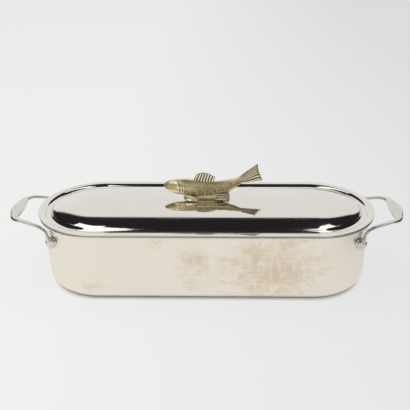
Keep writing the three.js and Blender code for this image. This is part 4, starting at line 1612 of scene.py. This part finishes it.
# Middles of the clips and feet in one quarter of the rack's plan, and what each covers from
# its middle, along and across.
BAIL_X, BAIL_HALF, CLIP_INSET = 0.148, 0.040, 0.008
CLIP, CLIP_COVER = (BAIL_X, BAIL_HALF - CLIP_INSET), (0.0085, 0.004)
FOOT, FOOT_COVER = (0.132, 0.042), (0.017, 0.006)


def rack_radius(pan, rack):
    """Radius of the rack's rounded ends."""
    return wall_radius(pan, pan.bottom_radius) - pan.sheet - rack.gap


def covered(x, y, middle, cover, room):
    """Whether a place is on, or less than a room away from, a clip or a foot."""
    return all(
        abs(abs(here) - at) < half + room for here, at, half in zip((x, y), middle, cover)
    )


def hole_points(pan, rack):
    """Middles of the rack's holes: staggered rows clear of the clips and the feet."""
    limit = rack_radius(pan, rack) - rack.border - rack.hole
    step = rack.pitch * math.sqrt(3) / 2
    rows = int(limit // step)
    columns = math.ceil((pan.straight + pan.width) / rack.pitch / 2)
    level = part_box("rack_plate")[1].z
    points = []
    for row in range(-rows, rows + 1):
        for column in range(-columns, columns + 1):
            x = column * rack.pitch + (rack.pitch / 2 if row % 2 else 0)
            y = row * step
            inside = math.hypot(max(0, abs(x) - pan.straight / 2), y) <= limit
            on_clip = covered(x, y, CLIP, CLIP_COVER, rack.hole)
            if inside and not on_clip and not covered(x, y, FOOT, FOOT_COVER, rack.hole):
                points.append((x, y, level))
    return points


def rack_profile(pan, rack):
    """The rack's sheet in section, with its edge turned down."""
    radius, top = rack_radius(pan, rack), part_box("rack_plate")[1].z
    middle, bend = radius - rack.bend, top - rack.bend
    return [
        [0, top],
        *arc(middle, bend, rack.bend, QUARTER, 0, 8),
        [radius, top - rack.edge],
        [radius - rack.sheet, top - rack.edge],
        *arc(middle, bend, rack.bend - rack.sheet, 0, QUARTER, 6),
        [0, top - rack.sheet],
    ]


class POACHER_OT_rack(bpy.types.Operator):
    """Builds the perforated rack"""

    bl_idname = "poacher.build_rack"
    bl_label = "Rack"

    def execute(self, context):
        pan, rack = settings_of("pan"), settings_of("rack")
        steel = rack_material("rack_sheet_steel", rack.steel, rack.roughness)
        plate = swept("plate_shape", rack_profile(pan, rack), pan.straight, 40, steel, 30)
        made = run_tree(
            new_object("rack_sheet", hole_points(pan, rack)),
            tree_named("Perforated Plate", perforated_tree),
            Plate=plate,
            Hole_Radius=rack.hole,
            Material=steel,
        )
        remove(plate)
        mount(shade(made, 30), "rack", "rack_steel", "rack_plate")
        return {"FINISHED"}


def bent_strip(name, line, thickness, width):
    """A strip bent along a line of [x, z], its width along Y."""
    left, right = offset(line, thickness / 2), offset(line, -thickness / 2)
    outline = [*left, *right[::-1]]
    rings = [[(x, y, z) for x, z in outline] for y in (-width / 2, width / 2)]
    made = closed_object(name, [lofted(rings)])
    bevel = made.modifiers.new("Soft Edges", "BEVEL")
    bevel.width = 0.12 * MM
    bevel.segments = 2
    bevel.limit_method = "ANGLE"
    bevel.angle_limit = math.radians(40)
    return shade(settle(made), 35)


def at_corners(name, shape, middle, nodes, steel):
    """Four copies of a shape, one in each quarter of the plan at a middle, on the level of
    the CAD nodes that they replace."""
    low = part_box(nodes[0])[0].z
    points = [
        ((end * middle[0], front * middle[1], low), (0, 0, 1), (1, 0, 0))
        for end in ENDS.values()
        for front in SIDES.values()
    ]
    made = shade(scattered(name, shape, points, steel), 35)
    mount(made, "rack", "rack_steel", *nodes)


def foot_shape():
    """A foot of the rack: a strip bent to a hat section, its flanges up under the rack."""
    thick, high, (end, half_width) = 1.5 * MM, 18 * MM, FOOT_COVER
    low, top, leg = thick / 2, high - thick / 2, 8 * MM - thick / 2
    hat = [[-end, top], [-leg, top], [-leg, low], [leg, low], [leg, top], [end, top]]
    return bent_strip("foot_shape", eased(hat, 2.25 * MM, 6), thick, 2 * half_width)


def clip_shape(rack):
    """A clip: a strip bent over the bail's pin, with a flange each side on the rack."""
    sheet, (end, half_width) = 1.2 * MM, CLIP_COVER
    inner = rack.wire + SEAT_GAP
    middle, level = inner + sheet / 2, sheet / 2
    over = arc(0, inner, middle, math.pi, 0, 16)
    line = [[-end, level], [-middle, level], *over, [middle, level], [end, level]]
    return bent_strip("clip_shape", line, sheet, 2 * half_width)


class POACHER_OT_rack_fixings(bpy.types.Operator):
    """Builds the rack's four feet and the four clips that hold its bails"""

    bl_idname = "poacher.build_rack_fixings"
    bl_label = "Rack Feet and Clips"

    def execute(self, context):
        rack = settings_of("rack")
        steel = rack_material("rack_strip_steel", rack.steel, rack.roughness)
        at_corners("rack_feet", foot_shape(), FOOT, corner_nodes("rack_foot"), steel)
        at_corners("rack_clips", clip_shape(rack), CLIP, corner_nodes("rack_clip"), steel)
        return {"FINISHED"}


def bail_line():
    """A bail's centre line from pin to pin, in plan: X from its swing axis, and Y."""
    reach, pin, corner, elbow = 52 * MM, 14 * MM, 12 * MM, 5 * MM
    half = BAIL_HALF
    corners = [
        (0, half - pin), (0, half), (-reach, half),
        (-reach, -half), (0, -half), (0, pin - half),
    ]
    line = [corners[0]]
    for i, radius in enumerate((elbow, corner, corner, elbow)):
        line += rounded(*corners[i : i + 3], radius, 12)
    return [*line, corners[-1]]


class POACHER_OT_bails(bpy.types.Operator):
    """Builds the two wire bails by which the rack is lifted"""

    bl_idname = "poacher.build_bails"
    bl_label = "Bails"

    def execute(self, context):
        rack = settings_of("rack")
        steel = rack_material("wire_steel", rack.steel, rack.roughness - 0.04)
        line = bail_line()
        edges = [(i, i + 1) for i in range(len(line) - 1)]
        for name, end in ENDS.items():
            low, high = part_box(f"rack_bail_{name}")
            level = (low.z + high.z) / 2
            places = [(end * (BAIL_X + x), y, level) for x, y in line]
            made = run_tree(
                new_object(f"bail_{name}_wire", places, edges),
                tree_named("Bent Wire", wire_tree),
                Wire_Radius=rack.wire,
                Material=steel,
            )
            made = shade(outwards(made), 40)
            mount(made, f"bail_{name}", "wire_steel", f"rack_bail_{name}")
        return {"FINISHED"}


# Stage

# The camera as fitted to the photograph: its place, the place it looks at, and its roll.
CAMERA_PLACE = Vector((0.01875, -0.86026, 0.52013))
CAMERA_TARGET = Vector((-0.00118, 0.0, 0.10641))
CAMERA_ROLL = math.radians(0.415)

# How far the floor reaches each way, and how high the lamps hang over the lid's flange.
FLOOR_REACH, LAMP_HEIGHT = 6.0, 1.6

# Lamps over the pan: middle and size as shares of their height, and turn in degrees.
LAMPS = (
    ("softbox_left", (-0.48, 0.33), (0.33, 0.26), -40.2),
    ("softbox_right", (0.418, 0.372), (0.19, 0.18), 44.0),
    ("strip_left", (-0.56, -0.60), (0.60, 1.86), 0.0),
    ("strip_right", (0.51, -0.35), (0.46, 1.42), 0.0),
)

# The backdrop's distance as a multiple of its half width and of its height.
BACKDROP = (1.54, 0.676)


def ray_kinds(nodes):
    """1 for a ray that was mirrored or refracted, and 1 for a ray from the camera."""
    rays = nodes.add("ShaderNodeLightPath").outputs
    mirrored = nodes.larger(rays["Is Glossy Ray"], rays["Is Transmission Ray"])
    return mirrored, rays["Is Camera Ray"]


def paper_shine(nodes, parts, stage, mirrored):
    """The paper's own light, with painted light and shade: lighter at the left end and darker at
    the right, as if lit from the left. Reflections meet dimmer ends beside the pan."""
    # Painted shading across the paper: lighter at the left, darker at the right.
    left_to_right_shade = nodes.ramp(parts[0], -0.2, 0.55)
    tint = mixed(nodes, left_to_right_shade, opaque(stage.paper_lit_left), opaque(stage.paper_shaded_right))
    right = nodes.ramp(parts[0], 0.28, 0.60, 0.0, stage.side_fall)
    left = nodes.ramp(parts[0], -0.34, -0.80, 0.0, stage.side_fall / 2)
    level = nodes.less(1.0, nodes.times(mirrored, nodes.larger(right, left)))
    return nodes.add("ShaderNodeEmission", {"Color": tint, "Strength": level}).outputs[0]


def open_floor(nodes, parts, stage, pan):
    """Share of the paper's own light: none under the pan, and all that the stage gives it
    from a little outside the pan's foot."""
    past_end = nodes.less(nodes.math("ABSOLUTE", parts[0]), pan.straight / 2)
    past_end = nodes.math("POWER", nodes.larger(past_end, 0.0), 2.0)
    away = nodes.math("SQRT", nodes.plus(past_end, nodes.times(parts[1], parts[1])))
    foot = pan.width / 2 - pan.flare_width - pan.bottom_radius
    near, far = foot + 4 * MM, foot + 15 * MM
    return nodes.ramp(away, near, far, 0.0, stage.paper_share, smooth=True)


def floor_material(stage, pan):
    """Pale paper that shines by itself to the camera and in reflections, and so keeps its
    colour. The rest of it takes light and shadow, and all of it does under the pan."""
    material, nodes, shader, place = new_material("pale_floor", metallic=0.0)
    shader.inputs["Roughness"].default_value = 0.9
    shader.inputs["Specular IOR Level"].default_value = 0.1
    shader.inputs["Base Color"].default_value = opaque(stage.floor)
    parts = nodes.split(place)
    mirrored, direct = ray_kinds(nodes)
    shine = paper_shine(nodes, parts, stage, mirrored)
    seen = nodes.larger(mirrored, direct)
    share_seen = nodes.times(seen, open_floor(nodes, parts, stage, pan))
    both = nodes.add("ShaderNodeMixShader", {0: share_seen, 1: shader.outputs[0], 2: shine})
    output = material.node_tree.nodes["Material Output"]
    nodes.join(both.outputs[0], output.inputs["Surface"])
    return material


def pale_backdrop(nodes, parts, wall):
    """One pale backdrop with rounded corners, behind the pan."""
    beside = nodes.times(nodes.math("ABSOLUTE", parts[0]), BACKDROP[0])
    above = nodes.times(nodes.larger(parts[2], 0.0), BACKDROP[1])
    power = nodes.plus(nodes.math("POWER", beside, 4.0), nodes.math("POWER", above, 4.0))
    ahead = nodes.larger(parts[1], 0.001)
    edge = nodes.math("DIVIDE", nodes.math("POWER", power, 0.25), ahead)
    inside = nodes.ramp(edge, 0.97, 1.03, 1.0, 0.0, smooth=True)
    return nodes.times(inside, nodes.ramp(parts[0], -0.6, 0.6, wall, wall * 0.94))


def room_glow(nodes, parts, stage):
    """A dark room with a pale glow near the floor, before and behind the pan."""
    low = nodes.ramp(parts[2], 0.08, 0.42, stage.glow, stage.room, smooth=True)
    aside = nodes.math("ABSOLUTE", parts[0])
    glow = nodes.times(low, nodes.ramp(aside, 0.4, 0.75, 1.0, 0.06, smooth=True))
    return nodes.larger(glow, stage.room)


def studio_world(stage):
    """Soft fill for surfaces. Reflections meet the pale backdrop in the dark room, and the
    camera sees a wall as pale as the backdrop."""
    world = bpy.data.worlds.new("studio")
    world.use_nodes = True
    nodes = Nodes(world.node_tree)
    parts = nodes.split(nodes.add("ShaderNodeTexCoord").outputs["Generated"])
    mirrored, direct = ray_kinds(nodes)
    backdrop = pale_backdrop(nodes, parts, stage.wall)
    reflected = nodes.larger(backdrop, room_glow(nodes, parts, stage))
    shown = nodes.plus(nodes.times(direct, stage.wall - stage.fill), stage.fill)
    fill = nodes.times(nodes.less(1.0, mirrored), shown)
    strength = nodes.plus(nodes.times(mirrored, reflected), fill)
    background = world.node_tree.nodes["Background"]
    nodes.join(strength, background.inputs["Strength"])
    background.inputs["Color"].default_value = (1.0, 1.0, 1.0, 1.0)
    bpy.context.scene.world = world


def staged(name, data):
    """A new object in the scene that belongs to the stage."""
    made = bpy.data.objects.new(name, data)
    bpy.context.scene.collection.objects.link(made)
    return made


def lamp(stage, name, centre, size, degrees):
    """A softbox that hangs over the pan and faces down."""
    light = bpy.data.lights.new(name, "AREA")
    light.shape = "RECTANGLE"
    light.size, light.size_y = size[0] * LAMP_HEIGHT, size[1] * LAMP_HEIGHT
    light.energy = stage.box_light * math.pi * light.size * light.size_y
    top = flange_level(settings_of("lid"))
    made = staged(name, light)
    made.location = (centre[0] * LAMP_HEIGHT, centre[1] * LAMP_HEIGHT, top + LAMP_HEIGHT)
    made.rotation_euler = (0, 0, math.radians(degrees))


def studio_camera(stage):
    """The camera: it looks down on the front of the pan from a little right of its middle."""
    camera = bpy.data.cameras.new("camera")
    camera.lens = stage.focal
    camera.sensor_width = 36.0
    camera.clip_start, camera.clip_end = 0.01, 50.0
    ahead = (CAMERA_TARGET - CAMERA_PLACE).normalized()
    right = ahead.cross(Vector((0, 0, 1))).normalized()
    up = right.cross(ahead)
    level = right * math.cos(CAMERA_ROLL) - up * math.sin(CAMERA_ROLL)
    upright = right * math.sin(CAMERA_ROLL) + up * math.cos(CAMERA_ROLL)
    turn = Matrix((level, upright, -ahead)).transposed()
    made = staged("camera", camera)
    made.matrix_world = Matrix.Translation(CAMERA_PLACE) @ turn.to_4x4()
    bpy.context.scene.camera = made


class POACHER_OT_stage(bpy.types.Operator):
    """Builds the floor, the lights and the camera"""

    bl_idname = "poacher.build_stage"
    bl_label = "Stage"

    def execute(self, context):
        stage = settings_of("stage")
        corners = ((-1, -1), (1, -1), (1, 1), (-1, 1))
        places = [(x * FLOOR_REACH, y * FLOOR_REACH, 0) for x, y in corners]
        floor = new_object("floor", places, (), [(0, 1, 2, 3)])
        painted(floor, floor_material(stage, settings_of("pan")))
        studio_world(stage)
        for name, centre, size, degrees in LAMPS:
            lamp(stage, name, centre, size, degrees)
        studio_camera(stage)
        bpy.context.scene.view_settings.view_transform = "Standard"
        return {"FINISHED"}


# Panel and registration


class POACHER_PT_panel(bpy.types.Panel):
    """Lists the operators and settings of the fish poacher"""

    bl_label = "Fish Poacher"
    bl_idname = "POACHER_PT_panel"
    bl_space_type = "VIEW_3D"
    bl_region_type = "UI"
    bl_category = "Poacher"

    def draw(self, context):
        for operator in OPERATORS:
            self.layout.operator(operator.bl_idname)
        for name in ("pan", "lid", "handles", "knob", "rack", "stage"):
            group = settings_of(name)
            box = self.layout.box()
            box.label(text=name.title())
            for key in group.__annotations__:
                box.prop(group, key)


SETTINGS = (
    PanSettings,
    LidSettings,
    HandleSettings,
    KnobSettings,
    RackSettings,
    StageSettings,
    PoacherSettings,
)
OPERATORS = (
    POACHER_OT_pan,
    POACHER_OT_lid,
    POACHER_OT_handles,
    POACHER_OT_rivets,
    POACHER_OT_knob,
    POACHER_OT_knob_fixings,
    POACHER_OT_rack,
    POACHER_OT_rack_fixings,
    POACHER_OT_bails,
    POACHER_OT_stage,
)


def register():
    """Registers the classes and gives the scene its settings."""
    for made in (*SETTINGS, *OPERATORS, POACHER_PT_panel):
        bpy.utils.register_class(made)
    bpy.types.Scene.poacher = PointerProperty(type=PoacherSettings)


def unregister():
    """Takes the settings and the classes away."""
    del bpy.types.Scene.poacher
    for made in reversed((*SETTINGS, *OPERATORS, POACHER_PT_panel)):
        bpy.utils.unregister_class(made)


def main():
    """Builds every piece and the stage."""
    register()
    for operator in OPERATORS:
        group, name = operator.bl_idname.split(".")
        getattr(getattr(bpy.ops, group), name)()


if __name__ == "__main__":
    main()
